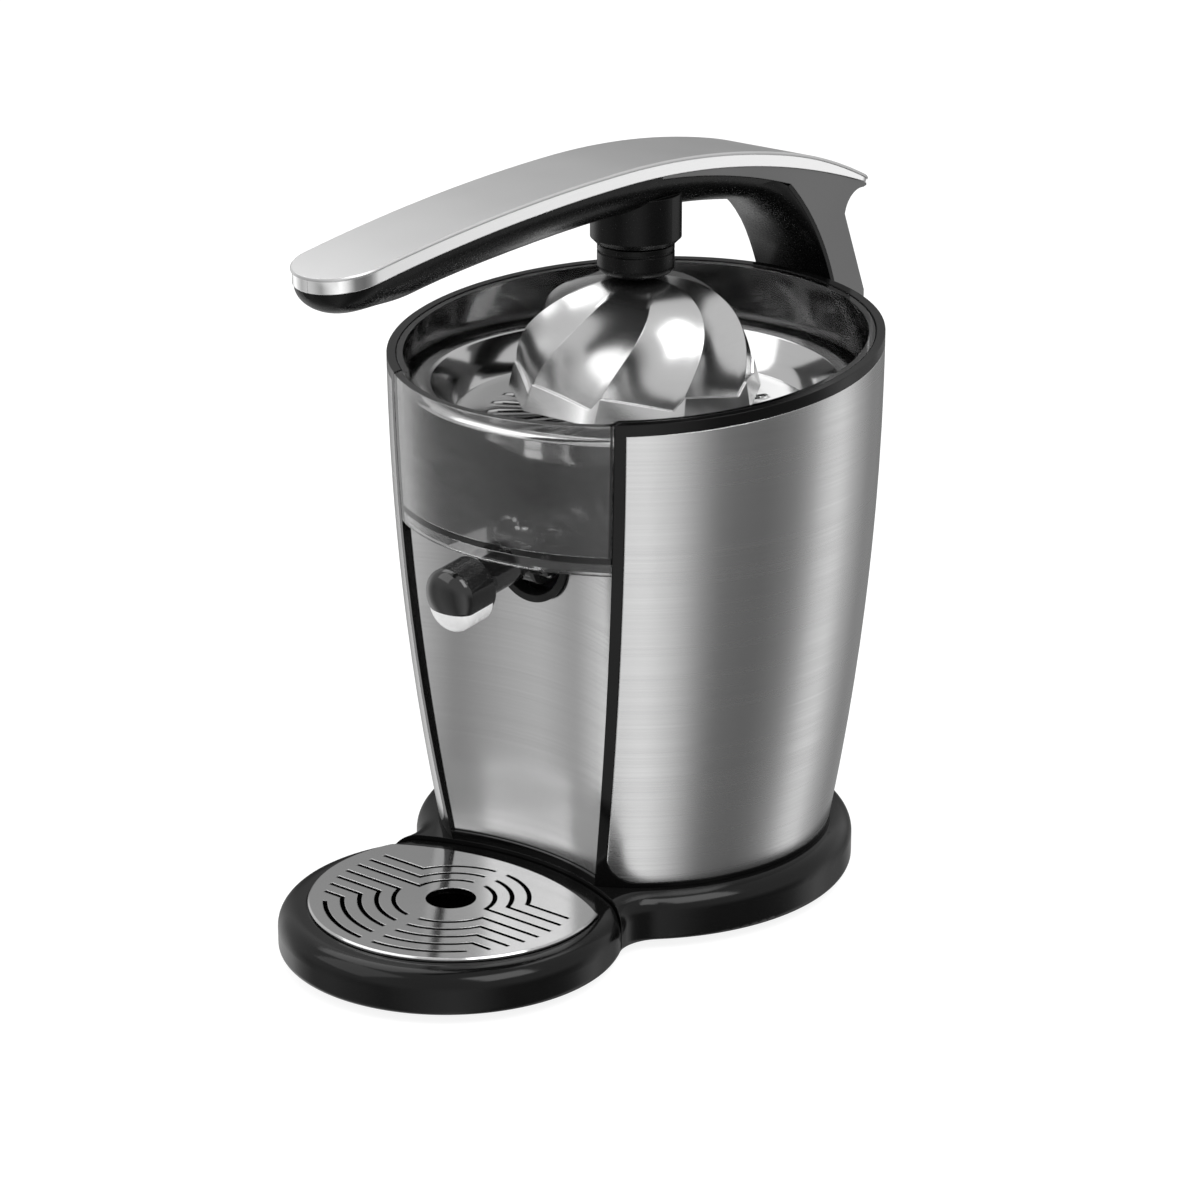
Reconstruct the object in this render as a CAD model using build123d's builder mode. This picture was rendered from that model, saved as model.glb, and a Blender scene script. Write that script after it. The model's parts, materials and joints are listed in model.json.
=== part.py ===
from build123d import *
from math import cos, sin, tan, acos, atan2, radians, sqrt, pi
import os

# Electric citrus press with a lever arm, in millimetres, +Z up, front towards -Y.
# Heights are above the table, and places in plan are measured from the drum's axis.

# Stance and fits
arm_front_reach = 157.2   # drum axis to the tip of the arm
beak_overhang = 27.5      # rim to the beak at the back of the arm
overrun = 5.0             # how far a cutting tool runs past what it cuts
quarter_turn = 90.0       # degrees
weld = 1.0                # how far joined forms reach into each other
fit_gap = 0.15            # between fixed pieces that are fitted together
lift_gap = 0.3            # between pieces that lift or slide apart
running_gap = 0.05        # between a shaft or pin and its bore

# Drum
rim_radius = 82.5
drum_taper = 15.2         # the foot is narrower than the rim, all round
rim_height = 188.4        # on the drum's axis
rim_slope = 4.46          # degrees, the rim is lower at the front
drum_foot = 19.0          # where the drum stands on the base
sheet = 0.8               # stainless sheet of the shell and the front panel
chassis_wall = 2.0
shell_foot = 20.8         # lower edge of the stainless shell
shell_drop = 3.8          # upper edge of the shell below the rim
shell_corner = 8.0        # rounded lower corners of the shell
foot_flange = 2.4         # inward flange of the chassis, thickness
foot_flange_width = 15.3

# Bay for the glass, and the window above it
bay_half_width = 46.1     # half width of the bay at rim height
strip_width = 3.1         # black edge strips beside the bay
bay_radius = 94.0         # concave front panel
bay_depth = 29.5          # rim to the middle of the panel
sill_height = 22.0        # lower edge of the panel
sill_proud = 1.4          # sill in front of the panel
skirt_drop = 3.6          # collector's clear front below its floor
skirt_gap = 0.5           # between the clear front and the panel

# Base and drip tray
base_top = 19.0
tray_top = 17.3
base_ring = 7.9           # base outside the drum's foot
lobe_radius = 56.8
lobe_proud = 43.2         # panel to the tray's middle
neck_radius = 14.0        # soft neck between base and tray
foot_lift = 3.0           # height of the feet
base_wall = 2.4
bottom_sheet = 2.0
edge_round = 6.5          # round the top of base and tray
under_round = 2.4
wire_hole = 18.0
tray_gap = 0.6            # between base and tray
tray_floor = 2.4
tray_foot_radius = 5.0
tray_foot_spread = 38.0
tray_foot_shares = ((0.85, 0.3), (-0.85, 0.3), (0, -1))
plate_shift = 2.5         # plate's middle behind the tray's middle
plate_radius = 48.6
plate_clear = 9.2         # panel to the plate's back edge
plate_thickness = 2.0
plate_proud = 1.4
plate_ledge = 2.4
plate_gap = 0.5
plate_edge = 0.5
drain_radius = 8.3
slot_width = 1.5
slot_pitch = 5.6
slot_limit = 42.0         # outer end of the straight slots
slot_spine = 2.4          # half width of the solid spine between left and right slots
slot_shelf = 13.7         # where an arc turns into its straight tail, less than its radius
front_slot_start = 18.8
back_slot_start = 14.5
front_slots = 5
back_slots = 3

# Juice parts
deck_top = 135.7          # chassis deck under the collector
deck_thickness = 2.6
collector_floor = 136.0
collector_wall = 2.2
collector_ring = 8.1      # rim to the collector's bore below the strainer's ledge
window_wall = 2.5
collector_drop = 0.3      # lip below the rim
chimney_bore = 9.5
chimney_wall = 2.4
chimney_top = 164.0
ledge_height = 173.6
seal_bottom = 156.0
seal_height = 5.0
seal_foot = 2.0
flange_ring = 6.1         # rim to the strainer's outer edge
mouth_ring = 11.5         # rim to the strainer's mouth
strainer_bottom = 157.5
strainer_flank = 24.0     # mouth to floor, in plan
strainer_bow = 3.0
strainer_hole = 14.2
strainer_collar = 3.2
strainer_slots = 30
strainer_slot_in = 22.0
strainer_slot_margin = 4.0
strainer_slot_width = 1.8

# Juicing cone
cone_bottom = 169.4
cone_skirt = 5.0          # height of the skirt band
cone_foot_radius = 44.3
cone_radius = 40.8
cone_top = 209.6
cone_ridges = 8
cone_phase = 13.0         # degrees, the first ridge from the front at the foot
cone_twist = 34.0         # degrees, foot to tip
flute_low_share = 0.12    # how far a flute is hollowed, as a share of its radius
flute_top_share = 0.03
foot_flute_share = 0.008
cone_dome_share = 2.8     # power of the dome's curve, 2 is round
cone_height_shares = (0, 0.3, 0.55, 0.74, 0.88, 0.96, 0.993)
cone_twist_power_share = 1.25
cone_hollow_share = 0.84
cone_hollow_top = 196.0
hub_radius = 8.6

# Spout
spout_proud = 4.0         # panel to the spout's pivot
spout_drop = 8.6          # collector's floor to the spout's pivot
spout_slope = 6.5         # degrees below level
barrel_radius = 8.2
barrel_half_length = 8.0
spout_neck_radius = 6.3
spout_neck_length = 22.0
spout_head_radius = 9.7
spout_head_start = 26.5
spout_length = 42.5
spout_wall = 1.5
spout_pin_radius = 2.4
spout_inlet = 3.6
spout_inlet_lean = 25.0   # degrees, the inlet stands upright when the spout is down
nose_share = 0.55         # length of the rounded nose against its radius
mouth_radius = 5.6        # outlet under the head
mouth_along = 34.5
lip_drop = 3.4            # the lip hangs below the head
lip_start = 27.5
lip_narrow = 0.5
ear_thickness = 3.0
ear_radius = 5.5
port_radius = 14.6        # half-round port in the panel
port_drop = 1.4           # middle of the port below the spout's pivot
grommet_width = 1.6
grommet_flange = 0.8
grommet_proud = 1.0

# Drive
shaft_radius = 5.0
shaft_bottom = 91.0
shaft_top = 186.0
shaft_bevel = 0.25
shoulder_radius = 8.0
shoulder_bottom = 117.0
shoulder_height = 3.0
press_travel = 2.5
gear_margin = 22.5        # rim radius beyond the gear train's span
gear_span_teeth = 50      # that span, in teeth of the wheels
pressure_angle = 25.0     # degrees
root_share = 1.25
backlash = 0.3
gear_phase = 90.0         # degrees, a tooth in line with the next gear
motor_teeth = 12
wheel_teeth = 44
idler_teeth = 14
output_teeth = 42
gear_plate_bottom = 75.0
gear_plate_top = 78.0
gear_roof_bottom = 104.0
gear_roof_top = 107.0
gear_wall = 2.4
gear_room = 6.5           # from the pitch circle to the housing
pinion_bottom = 79.5
pinion_top = 88.0
wheel_bottom = 80.5
wheel_top = 87.5
idler_top = 101.0
output_bottom = 92.0
output_top = 100.0
idler_pin_radius = 3.0
hang_boss = 4.5
hang_screw_shares = ((0.8, 0.05), (-0.8, 0.05), (0.6, 1.35), (-0.6, 1.35))
plate_boss = 3.6
plate_screw_shares = ((0.9, 0.51), (-0.9, 0.51), (0.7, -0.7), (-0.7, -0.7))
motor_screw_shares = ((0.5, -0.3), (-0.5, -0.3))
motor_radius = 26.0
motor_bottom = 30.0
motor_wall = 1.6
motor_end = 6.0           # thickness of the motor's upper end
stator_bore = 13.6
stator_bottom = 38.0
stator_top = 62.0
stator_slots = 6
stator_slot_depth = 6.0
stator_slot_width = 4.0
rotor_radius = 13.0
motor_shaft_radius = 2.5
bearing_radius = 6.5
bearing_height = 4.0
bush_wall = 2.6
lower_bush_bottom = 102.0
lower_bush_top = 109.0
upper_bush_bottom = 126.0
upper_bush_boss = 3.0
collar_radius = 11.0
collar_thickness = 3.0
spring_outer = 9.6
spring_inner = 8.2
spring_rings = 3
switch_length = 19.8
switch_width = 6.4
switch_height = 6.6
switch_reach = 21.5
switch_button = 1.2

# Lever arm
crown_rise = 63.3         # rim to the top of the arm
crown_reach = 25.6        # drum axis to the crown, forwards
tip_fall = 9.8            # tip of the upper face below the crown
beak_fall = 25.0          # beak below the crown
cover_thickness = 1.0
tip_half_width = 15.1
beak_half_width = 17.9
beak_corner = 4.0
trim_height = 4.0         # bright band under the cover
trim_inset = 1.6          # band inside the edge of the cover
arm_inset = 0.9           # arm body inside the edge of the cover
hull_depth = 13.4         # belly under the band, in the middle of the arm
hull_side = 4.0           # how far the hull's sides are run up before they are trimmed
hull_reach_shares = (0.993, 0.98, 0.955, 0.905, 0.84, 0.74, 0.48, 0.2, -0.08, -0.3, -0.5)
hull_depth_shares = (0.14, 0.38, 0.6, 0.78, 0.9, 1, 1, 1, 1, 1, 1)
wedge_reach = 6.0         # where the grey side starts, forwards of the drum's axis
wedge_step = 1.0          # blunt front end of the grey side
wedge_sag = 2.0
liner_thickness = 1.6
post_half_width = 16.0
post_top_inset = 36.5     # post's inner face, from the hinge forwards, at its top
post_top_fall = 22.3      # and below the crown
post_inset = 7.4          # the same at its foot
post_foot_rise = 8.0      # foot of the post above the hinge
post_sag = 4.2
post_outset = 10.5        # post's outer face behind the hinge, at its foot
neck_inset = 3.2          # outer face in front of the hinge, at the neck
neck_fall = 38.1
beak_inset = 4.0          # underside of the beak
beak_under_fall = 30.6
beak_sag = 2.6
hinge_proud = 16.0        # rim to the hinge's axis
hinge_fall = 15.4         # hinge's axis below the rim
knuckle_radius = 11.0
knuckle_half_width = 11.0
hinge_pin_radius = 3.0
hinge_bush_wall = 1.6
ear_gap = 0.4
ear_half_width = 17.0
bracket_proud = 3.5       # bracket behind the rim
bracket_height = 46.0
bracket_slope = 14.0
bracket_screw_spread = 6.0
bracket_screw_rise = 7.0  # lower screws above the bracket's foot
bracket_screw_pitch = 11.0
bracket_screw_length = 7.0

# Presser
sleeve_radius = 15.1
sleeve_bottom = 221.0
sleeve_bevel = 1.8
sleeve_fall = 14.0        # sleeve runs up to this far below the crown
pad_radius = 12.8
pad_bottom = 210.4
pad_round = 3.0
pad_top = 220.4
pad_stem = 7.0
pad_stem_top = 230.5
pad_groove = 0.6
pad_groove_width = 0.8
pad_groove_height = 217.8

# Fasteners, feet and gland
screw_radius = 1.75
screw_head_radius = 3.2
screw_head = 2.0
screw_socket = 1.4
screw_socket_depth = 1.1
screw_length = 9.0
screw_boss = 4.2
chassis_screw_inset = 7.3 # from the drum's foot
cover_screw_inset = 13.2  # from the base's edge
cover_screw_shares = ((0.87, 0.49), (-0.87, 0.49), (0.9, -0.43), (-0.9, -0.43))
foot_inset = 19.2         # from the base's edge
foot_pad_radius = 6.0
foot_bevel = 0.5
vent_ring = 30.0
vent_count = 12
vent_length = 14.0
vent_width = 2.4
gland_radius = 5.0
gland_bore = 3.4
gland_flange = 7.5
gland_flange_thickness = 1.6
gland_height = 11.0
gland_length = 9.2

os.makedirs("parts", exist_ok=True)


# Planes and shared forms

foot_radius = rim_radius - drum_taper
foot_flange_bore = foot_radius - foot_flange_width
base_radius = foot_radius + base_ring
panel_reach = rim_radius - bay_depth
lobe_reach = panel_reach + lobe_proud
plate_reach = lobe_reach - plate_shift
plate_back = panel_reach + plate_clear
spout_reach = panel_reach + spout_proud
spout_height = collector_floor - spout_drop
port_height = spout_height - port_drop
skirt_height = collector_floor - skirt_drop
panel_top = skirt_height - skirt_gap
gear_module = (rim_radius - gear_margin) / gear_span_teeth
hinge_reach = rim_radius + hinge_proud
hinge_height = rim_height - hinge_fall
bracket_top = hinge_height + knuckle_radius
bracket_bottom = bracket_top - bracket_height
bracket_back = rim_radius + bracket_proud
arm_back_reach = rim_radius + beak_overhang
crown_height = rim_height + crown_rise
axis_y = (arm_front_reach - arm_back_reach) / 2   # brings the middle of the part to the origin
drum_axis = Axis((0, axis_y, 0), (0, 0, 1))
front_plane = Plane(origin=(0, axis_y, 0), x_dir=(1, 0, 0), z_dir=(0, -1, 0))   # seen from the front
side_plane = Plane(origin=(0, axis_y, 0), x_dir=(0, 1, 0), z_dir=(1, 0, 0))     # seen from the right
rim_top = rim_height + rim_radius * tan(radians(rim_slope)) + overrun
drum_bow = ((rim_height - drum_foot) ** 2 + drum_taper ** 2) / (2 * drum_taper)
bay_centre = panel_reach + bay_radius
sill_radius = bay_radius - sill_proud
tray_radius = sill_radius - tray_gap
plate_back_radius = bay_centre - plate_back
skin_inset = sheet + fit_gap              # outside of the chassis under the shell
wall_inset = skin_inset + chassis_wall    # inside of the chassis
bay_back_radius = bay_radius + skin_inset


def level(height):
    """A level plane on the drum's axis."""
    return Plane(origin=(0, axis_y, height), x_dir=(1, 0, 0), z_dir=(0, 0, 1))


def rim_plane(drop):
    """The sloping plane of the rim, or one below it."""
    tilt = radians(rim_slope)
    return Plane(origin=(0, axis_y, rim_height - drop), x_dir=(1, 0, 0), z_dir=(0, -sin(tilt), cos(tilt)))


def drum_radius(height):
    """Outside of the drum at a height: one arc, upright at the rim."""
    return rim_radius - drum_bow + sqrt(drum_bow ** 2 - (rim_height - height) ** 2)


def barrel(inset, bottom, top):
    """The drum as a solid, drawn in all round, between two heights."""
    middle = (bottom + top) / 2
    low = (drum_radius(bottom) - inset, bottom)
    high = (drum_radius(top) - inset, top)
    with BuildPart() as solid:
        with BuildSketch(front_plane):
            with BuildLine():
                ThreePointArc(low, (drum_radius(middle) - inset, middle), high)
                Polyline(high, (0, top), (0, bottom), low)
            make_face()
        revolve(axis=drum_axis)
    return solid.part


def column(radius, bottom, top, x=0, y=0):
    """An upright round bar, placed in plan from the drum's axis."""
    with BuildPart() as solid:
        with BuildSketch(level(bottom)):
            with Locations((x, y)):
                Circle(radius)
        extrude(amount=top - bottom)
    return solid.part


def tube(outer, inner, bottom, top, x=0, y=0):
    """An upright tube, placed in plan from the drum's axis."""
    with BuildPart() as solid:
        with BuildSketch(level(bottom)):
            with Locations((x, y)):
                Circle(outer)
                Circle(inner, mode=Mode.SUBTRACT)
        extrude(amount=top - bottom)
    return solid.part


def cross_bar(radius, half_length, y, height):
    """A round bar across the part, at a place in the side view."""
    with BuildPart() as solid:
        with BuildSketch(side_plane):
            with Locations((y, height)):
                Circle(radius)
        extrude(amount=half_length, both=True)
    return solid.part


def bay_column(radius, bottom, top):
    """The upright cylinder that hollows the front of the drum."""
    return column(radius, bottom, top, 0, -bay_centre)


def window_block(half_width, bottom, top):
    """Everything in front of the drum's axis between the two edges of the window."""
    middle = (bottom + top) / 2
    heights = (bottom, middle, top)
    right = [(half_width - rim_radius + drum_radius(h), h) for h in heights]
    left = [(-x, h) for x, h in right]
    with BuildPart() as solid:
        with BuildSketch(front_plane):
            with BuildLine():
                ThreePointArc(right[0], right[1], right[2])
                Line(right[2], left[2])
                ThreePointArc(left[2], left[1], left[0])
                Line(left[0], right[0])
            make_face()
        extrude(amount=rim_radius + overrun)
    return solid.part


def strip_block(margin):
    """The part of the shell that is left open for the strips and the bay, with its round corners."""
    foot = shell_foot - margin
    half_width = bay_half_width + strip_width - margin
    middle = (foot + rim_top) / 2
    heights = (foot, middle, rim_top)
    right = [(half_width - rim_radius + drum_radius(h), h) for h in heights]
    left = [(-x, h) for x, h in right]
    with BuildPart() as solid:
        with BuildSketch(front_plane) as face:
            with BuildLine():
                ThreePointArc(right[0], right[1], right[2])
                Line(right[2], left[2])
                ThreePointArc(left[2], left[1], left[0])
                Line(left[0], right[0])
            make_face()
            with Locations((0, foot)):
                Rectangle(2 * rim_radius, overrun, align=(Align.CENTER, Align.MAX))
            corners = sorted(face.vertices(), key=lambda v: abs(v.Y - foot) + abs(abs(v.X) - right[0][0]))
            fillet(corners[:2], shell_corner)
        extrude(amount=rim_radius + overrun)
    return solid.part


def shell_form(outset, inset, margin):
    """The stainless shell, or with margins the recess that it lies in."""
    with BuildPart() as form:
        add(barrel(-outset, shell_foot - margin, rim_top))
        add(barrel(inset, shell_foot - margin, rim_top), mode=Mode.SUBTRACT)
        split(bisect_by=rim_plane(shell_drop - margin), keep=Keep.BOTTOM)
        add(strip_block(margin), mode=Mode.SUBTRACT)
        with BuildSketch(side_plane):
            with Locations((0, bracket_bottom - fit_gap + margin)):
                Rectangle(
                    rim_radius + overrun,
                    bracket_top - bracket_bottom + 2 * (fit_gap - margin),
                    align=(Align.MIN, Align.MIN),
                )
        extrude(amount=ear_half_width + fit_gap - margin, both=True, mode=Mode.SUBTRACT)
    return form.part


def stance(height):
    """The footprint of base and tray: two circles with a soft neck, rounded above and below."""
    big = base_radius + neck_radius
    small = lobe_radius + neck_radius
    neck_y = (small ** 2 - big ** 2 - lobe_reach ** 2) / (2 * lobe_reach)
    neck_x = sqrt(big ** 2 - neck_y ** 2)
    on_base = (neck_x * base_radius / big, neck_y * base_radius / big)
    on_lobe = (neck_x * lobe_radius / small, (neck_y + lobe_reach) * lobe_radius / small - lobe_reach)
    waist = (neck_x - neck_radius, neck_y)
    with BuildPart() as solid:
        with BuildSketch(level(foot_lift)):
            with BuildLine():
                ThreePointArc(on_base, (0, base_radius), (-on_base[0], on_base[1]))
                ThreePointArc((-on_base[0], on_base[1]), (-waist[0], waist[1]), (-on_lobe[0], on_lobe[1]))
                ThreePointArc((-on_lobe[0], on_lobe[1]), (0, -lobe_reach - lobe_radius), on_lobe)
                ThreePointArc(on_lobe, waist, on_base)
            make_face()
        extrude(amount=height - foot_lift)
        fillet(solid.faces().sort_by(Axis.Z)[-1].edges(), edge_round)
        fillet(solid.faces().sort_by(Axis.Z)[0].edges(), under_round)
    return solid.part


def screws(places, head_bottom, length):
    """A set of upright screws, heads down."""
    with BuildPart() as solid:
        with BuildSketch(level(head_bottom)):
            with Locations(*places):
                Circle(screw_head_radius)
                RegularPolygon(screw_socket, 6, mode=Mode.SUBTRACT)
        extrude(amount=screw_socket_depth)
        with BuildSketch(level(head_bottom + screw_socket_depth)):
            with Locations(*places):
                Circle(screw_head_radius)
        extrude(amount=screw_head - screw_socket_depth)
        with BuildSketch(level(head_bottom + screw_head)):
            with Locations(*places):
                Circle(screw_radius)
        extrude(amount=length)
    return solid.part


def holes(places, radius, bottom, top):
    """A set of upright bars, to cut holes or to stand as posts."""
    with BuildPart() as solid:
        with BuildSketch(level(bottom)):
            with Locations(*places):
                Circle(radius)
        extrude(amount=top - bottom)
    return solid.part


def ring_places(radius, count, first):
    """Places on a circle about the drum's axis, first angle in degrees."""
    angles = [radians(first + 360 * i / count) for i in range(count)]
    return [(radius * cos(a), radius * sin(a)) for a in angles]


def gear(teeth, y, bottom, thickness, first):
    """A spur gear with involute flanks; one tooth stands at the angle given, in degrees."""
    pitch = gear_module * teeth / 2
    base = pitch * cos(radians(pressure_angle))
    root = pitch - root_share * gear_module
    tip = pitch + gear_module
    start = max(base, root)
    roll = tan(radians(pressure_angle)) - radians(pressure_angle)
    half = (pi * gear_module / 2 - backlash / 2) / 2 / pitch + roll

    def flank(radius, centre, side):
        angle = acos(min(1, base / radius))
        turn = centre + side * (half - tan(angle) + angle)
        return (radius * cos(turn), radius * sin(turn))

    gear_plane = Plane(origin=(0, axis_y + y, bottom), x_dir=(1, 0, 0), z_dir=(0, 0, 1))
    step = 2 * pi / teeth
    with BuildPart() as solid:
        with BuildSketch(gear_plane):
            with BuildLine():
                for i in range(teeth):
                    centre = radians(first) + i * step
                    low = flank(start, centre, -1)
                    high = flank(start, centre, 1)
                    low_root = (low[0] * root / start, low[1] * root / start)
                    high_root = (high[0] * root / start, high[1] * root / start)
                    if root < start:
                        Line(low_root, low)
                        Line(high, high_root)
                    rise = [flank(start + (tip - start) * k / 2, centre, -1) for k in range(3)]
                    fall = [flank(tip - (tip - start) * k / 2, centre, 1) for k in range(3)]
                    ThreePointArc(*rise)
                    Line(rise[2], fall[0])
                    ThreePointArc(*fall)
                    next_low = flank(start, centre + step, -1)
                    Line(high_root, (next_low[0] * root / start, next_low[1] * root / start))
            make_face()
        extrude(amount=thickness)
    return solid.part


# Base, its cover and its feet

cavity_radius = base_radius - base_wall - edge_round * (1 - 1 / sqrt(2))
cavity_top = base_top - base_wall
cover_screw_ring = base_radius - cover_screw_inset
chassis_screw_places = ring_places(foot_radius - chassis_screw_inset, 4, 45)
cover_screw_places = [(cover_screw_ring * x, cover_screw_ring * y) for x, y in cover_screw_shares]
foot_places = ring_places(base_radius - foot_inset, 4, 45)

with BuildPart() as base:
    add(stance(base_top))
    add(bay_column(sill_radius, 0, base_top), mode=Mode.SUBTRACT)
    with BuildSketch(level(0)):
        Circle(cavity_radius)
        with Locations((0, -bay_centre)):
            Circle(sill_radius + base_wall, mode=Mode.SUBTRACT)
    extrude(amount=cavity_top, mode=Mode.SUBTRACT)
    add(column(wire_hole, 0, base_top), mode=Mode.SUBTRACT)
    add(holes(cover_screw_places, screw_boss, foot_lift + bottom_sheet, cavity_top + weld))
    add(holes(cover_screw_places, screw_radius + fit_gap, 0, cavity_top), mode=Mode.SUBTRACT)
    add(holes(chassis_screw_places, screw_radius + fit_gap, 0, base_top), mode=Mode.SUBTRACT)
    with BuildSketch(front_plane):
        with Locations((0, gland_height)):
            Circle(gland_radius + fit_gap)
    extrude(amount=-base_radius - overrun, mode=Mode.SUBTRACT)
base.part.label = "base"
export_step(base.part, "parts/base.step")

with BuildPart() as bottom_cover:
    with BuildSketch(level(foot_lift)):
        Circle(cavity_radius - lift_gap)
        with Locations((0, -bay_centre)):
            Circle(sill_radius + base_wall + lift_gap, mode=Mode.SUBTRACT)
        with Locations(*cover_screw_places):
            Circle(screw_radius + fit_gap, mode=Mode.SUBTRACT)
        with PolarLocations(vent_ring, vent_count):
            SlotOverall(vent_length, vent_width, mode=Mode.SUBTRACT)
    extrude(amount=bottom_sheet)
bottom_cover.part.label = "bottom_cover"
export_step(bottom_cover.part, "parts/bottom_cover.step")

with BuildPart() as cover_screws:
    add(screws(cover_screw_places, foot_lift - screw_head, screw_length))
cover_screws.part.label = "cover_screws"
export_step(cover_screws.part, "parts/cover_screws.step")

with BuildPart() as chassis_screws:
    add(screws(chassis_screw_places, cavity_top - screw_head, screw_length))
chassis_screws.part.label = "chassis_screws"
export_step(chassis_screws.part, "parts/chassis_screws.step")

with BuildPart() as feet:
    add(holes(foot_places, foot_pad_radius, 0, foot_lift))
    chamfer(feet.faces().group_by(Axis.Z)[0].edges(), foot_bevel)
feet.part.label = "feet"
export_step(feet.part, "parts/feet.step")

with BuildPart() as cord_gland:
    with BuildSketch(front_plane.offset(gland_length - base_radius)):
        with Locations((0, gland_height)):
            Circle(gland_radius)
            Circle(gland_bore, mode=Mode.SUBTRACT)
    extrude(amount=-gland_length - weld)
    with BuildSketch(front_plane.offset(-base_radius - fit_gap)):
        with Locations((0, gland_height)):
            Circle(gland_flange)
            Circle(gland_bore, mode=Mode.SUBTRACT)
    extrude(amount=-gland_flange_thickness)
cord_gland.part.label = "cord_gland"
export_step(cord_gland.part, "parts/cord_gland.step")


# Drip tray and its plate

plate_top = tray_top + plate_proud
plate_bottom = plate_top - plate_thickness


def plate_form(margin, bottom, top):
    """The outline of the drip plate, widened or narrowed all round."""
    with BuildPart() as solid:
        with BuildSketch(level(bottom)):
            with Locations((0, -plate_reach)):
                Circle(plate_radius + margin)
            with Locations((0, -bay_centre)):
                Circle(plate_back_radius + margin, mode=Mode.INTERSECT)
        extrude(amount=top - bottom)
    return solid.part


with BuildPart() as drip_tray:
    add(stance(tray_top))
    add(bay_column(tray_radius, 0, tray_top), mode=Mode.INTERSECT)
    add(plate_form(plate_gap, plate_bottom, tray_top + overrun), mode=Mode.SUBTRACT)
    add(plate_form(-plate_ledge, foot_lift + tray_floor, tray_top + overrun), mode=Mode.SUBTRACT)
drip_tray.part.label = "drip_tray"
export_step(drip_tray.part, "parts/drip_tray.step")

with BuildPart() as tray_feet:
    tray_foot_places = [
        (tray_foot_spread * x, tray_foot_spread * y - lobe_reach) for x, y in tray_foot_shares
    ]
    add(holes(tray_foot_places, tray_foot_radius, 0, foot_lift))
    chamfer(tray_feet.faces().group_by(Axis.Z)[0].edges(), foot_bevel)
tray_feet.part.label = "tray_feet"
export_step(tray_feet.part, "parts/tray_feet.step")


def slot_path(radius, side, back):
    """Ends of one slot: at the spine, round to its corner, and out to the rim."""
    way = 1 if back else -1
    shelf = radius - slot_shelf
    spine = (side * slot_spine, way * sqrt(radius ** 2 - slot_spine ** 2))
    corner = (side * sqrt(radius ** 2 - shelf ** 2), way * shelf)
    middle_angle = (atan2(spine[1], side * spine[0]) + atan2(corner[1], side * corner[0])) / 2
    middle = (side * radius * cos(middle_angle), radius * sin(middle_angle))
    out = (side * sqrt(max(slot_limit, radius) ** 2 - shelf ** 2), way * shelf)
    return spine, middle, corner, out


with BuildPart() as drip_plate:
    add(plate_form(0, plate_bottom, plate_top))
    chamfer(drip_plate.faces().sort_by(Axis.Z)[-1].edges(), plate_edge)
    add(column(drain_radius, plate_bottom, plate_top, 0, -lobe_reach), mode=Mode.SUBTRACT)
    slot_plane = Plane(origin=(0, axis_y - lobe_reach, plate_bottom), x_dir=(1, 0, 0), z_dir=(0, 0, 1))
    for back, start, count in ((True, back_slot_start, back_slots), (False, front_slot_start, front_slots)):
        for i in range(count):
            for side in (-1, 1):
                spine, middle, corner, out = slot_path(start + i * slot_pitch, side, back)
                with BuildSketch(slot_plane):
                    with BuildLine():
                        ThreePointArc(spine, middle, corner)
                        if start + i * slot_pitch < slot_limit - slot_pitch / 2:
                            Line(corner, out)
                    trace(line_width=slot_width)
                extrude(amount=plate_thickness, mode=Mode.SUBTRACT)
drip_plate.part.label = "drip_plate"
export_step(drip_plate.part, "parts/drip_plate.step")


# Chassis, shell and front panel

hang_pitch = gear_module * (wheel_teeth + motor_teeth) / 2    # distance between the gear axes
gear_reach = gear_module * wheel_teeth / 2 + gear_room        # inside of the gear housing round each axis
hang_screw_places = [(gear_reach * x, gear_reach * y) for x, y in hang_screw_shares]
plate_screw_places = [(gear_reach * x, gear_reach * y) for x, y in plate_screw_shares]
motor_screw_places = [(gear_reach * x, gear_reach * y) for x, y in motor_screw_shares]
gear_plate_places = plate_screw_places + motor_screw_places
pin_seat_radius = idler_pin_radius + fit_gap
deck_bottom = deck_top - deck_thickness
bush_radius = shaft_radius + running_gap + bush_wall
bracket_screw_low = bracket_bottom + bracket_screw_rise
bracket_screw_heights = (bracket_screw_low, bracket_screw_low + bracket_screw_pitch)
bracket_screw_places = [(s * bracket_screw_spread, h) for s in (-1, 1) for h in bracket_screw_heights]


def bay_cut(half_width, radius, bottom, top):
    """Space of the bay between two heights."""
    with BuildPart() as solid:
        add(window_block(half_width, bottom, top))
        add(bay_column(radius, bottom, top), mode=Mode.INTERSECT)
    return solid.part


def back_bars(places, radius, start, end):
    """Level bars towards the back, placed as seen from the front."""
    with BuildPart() as solid:
        with BuildSketch(front_plane.offset(-start)):
            with Locations(*places):
                Circle(radius)
        extrude(amount=start - end)
    return solid.part


def port_cut(radius, start, end):
    """The half-round port for the spout, open at its top, between two distances in front of the axis."""
    with BuildPart() as solid:
        with BuildSketch(front_plane.offset(start)):
            with Locations((0, port_height)):
                Circle(radius)
                Rectangle(2 * radius, panel_top + overrun - port_height, align=(Align.CENTER, Align.MIN))
        extrude(amount=end - start)
    return solid.part


with BuildPart() as bay_back:
    add(bay_column(bay_back_radius + chassis_wall, drum_foot, panel_top))
    add(barrel(weld, drum_foot, panel_top), mode=Mode.INTERSECT)
    add(bay_column(bay_back_radius, sill_height, panel_top), mode=Mode.SUBTRACT)
    add(bay_column(sill_radius, drum_foot, sill_height), mode=Mode.SUBTRACT)

with BuildPart() as deck_shelf:
    add(window_block(bay_half_width + weld, deck_bottom, deck_top))
    add(barrel(window_wall + lift_gap, deck_bottom, deck_top), mode=Mode.INTERSECT)

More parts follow.
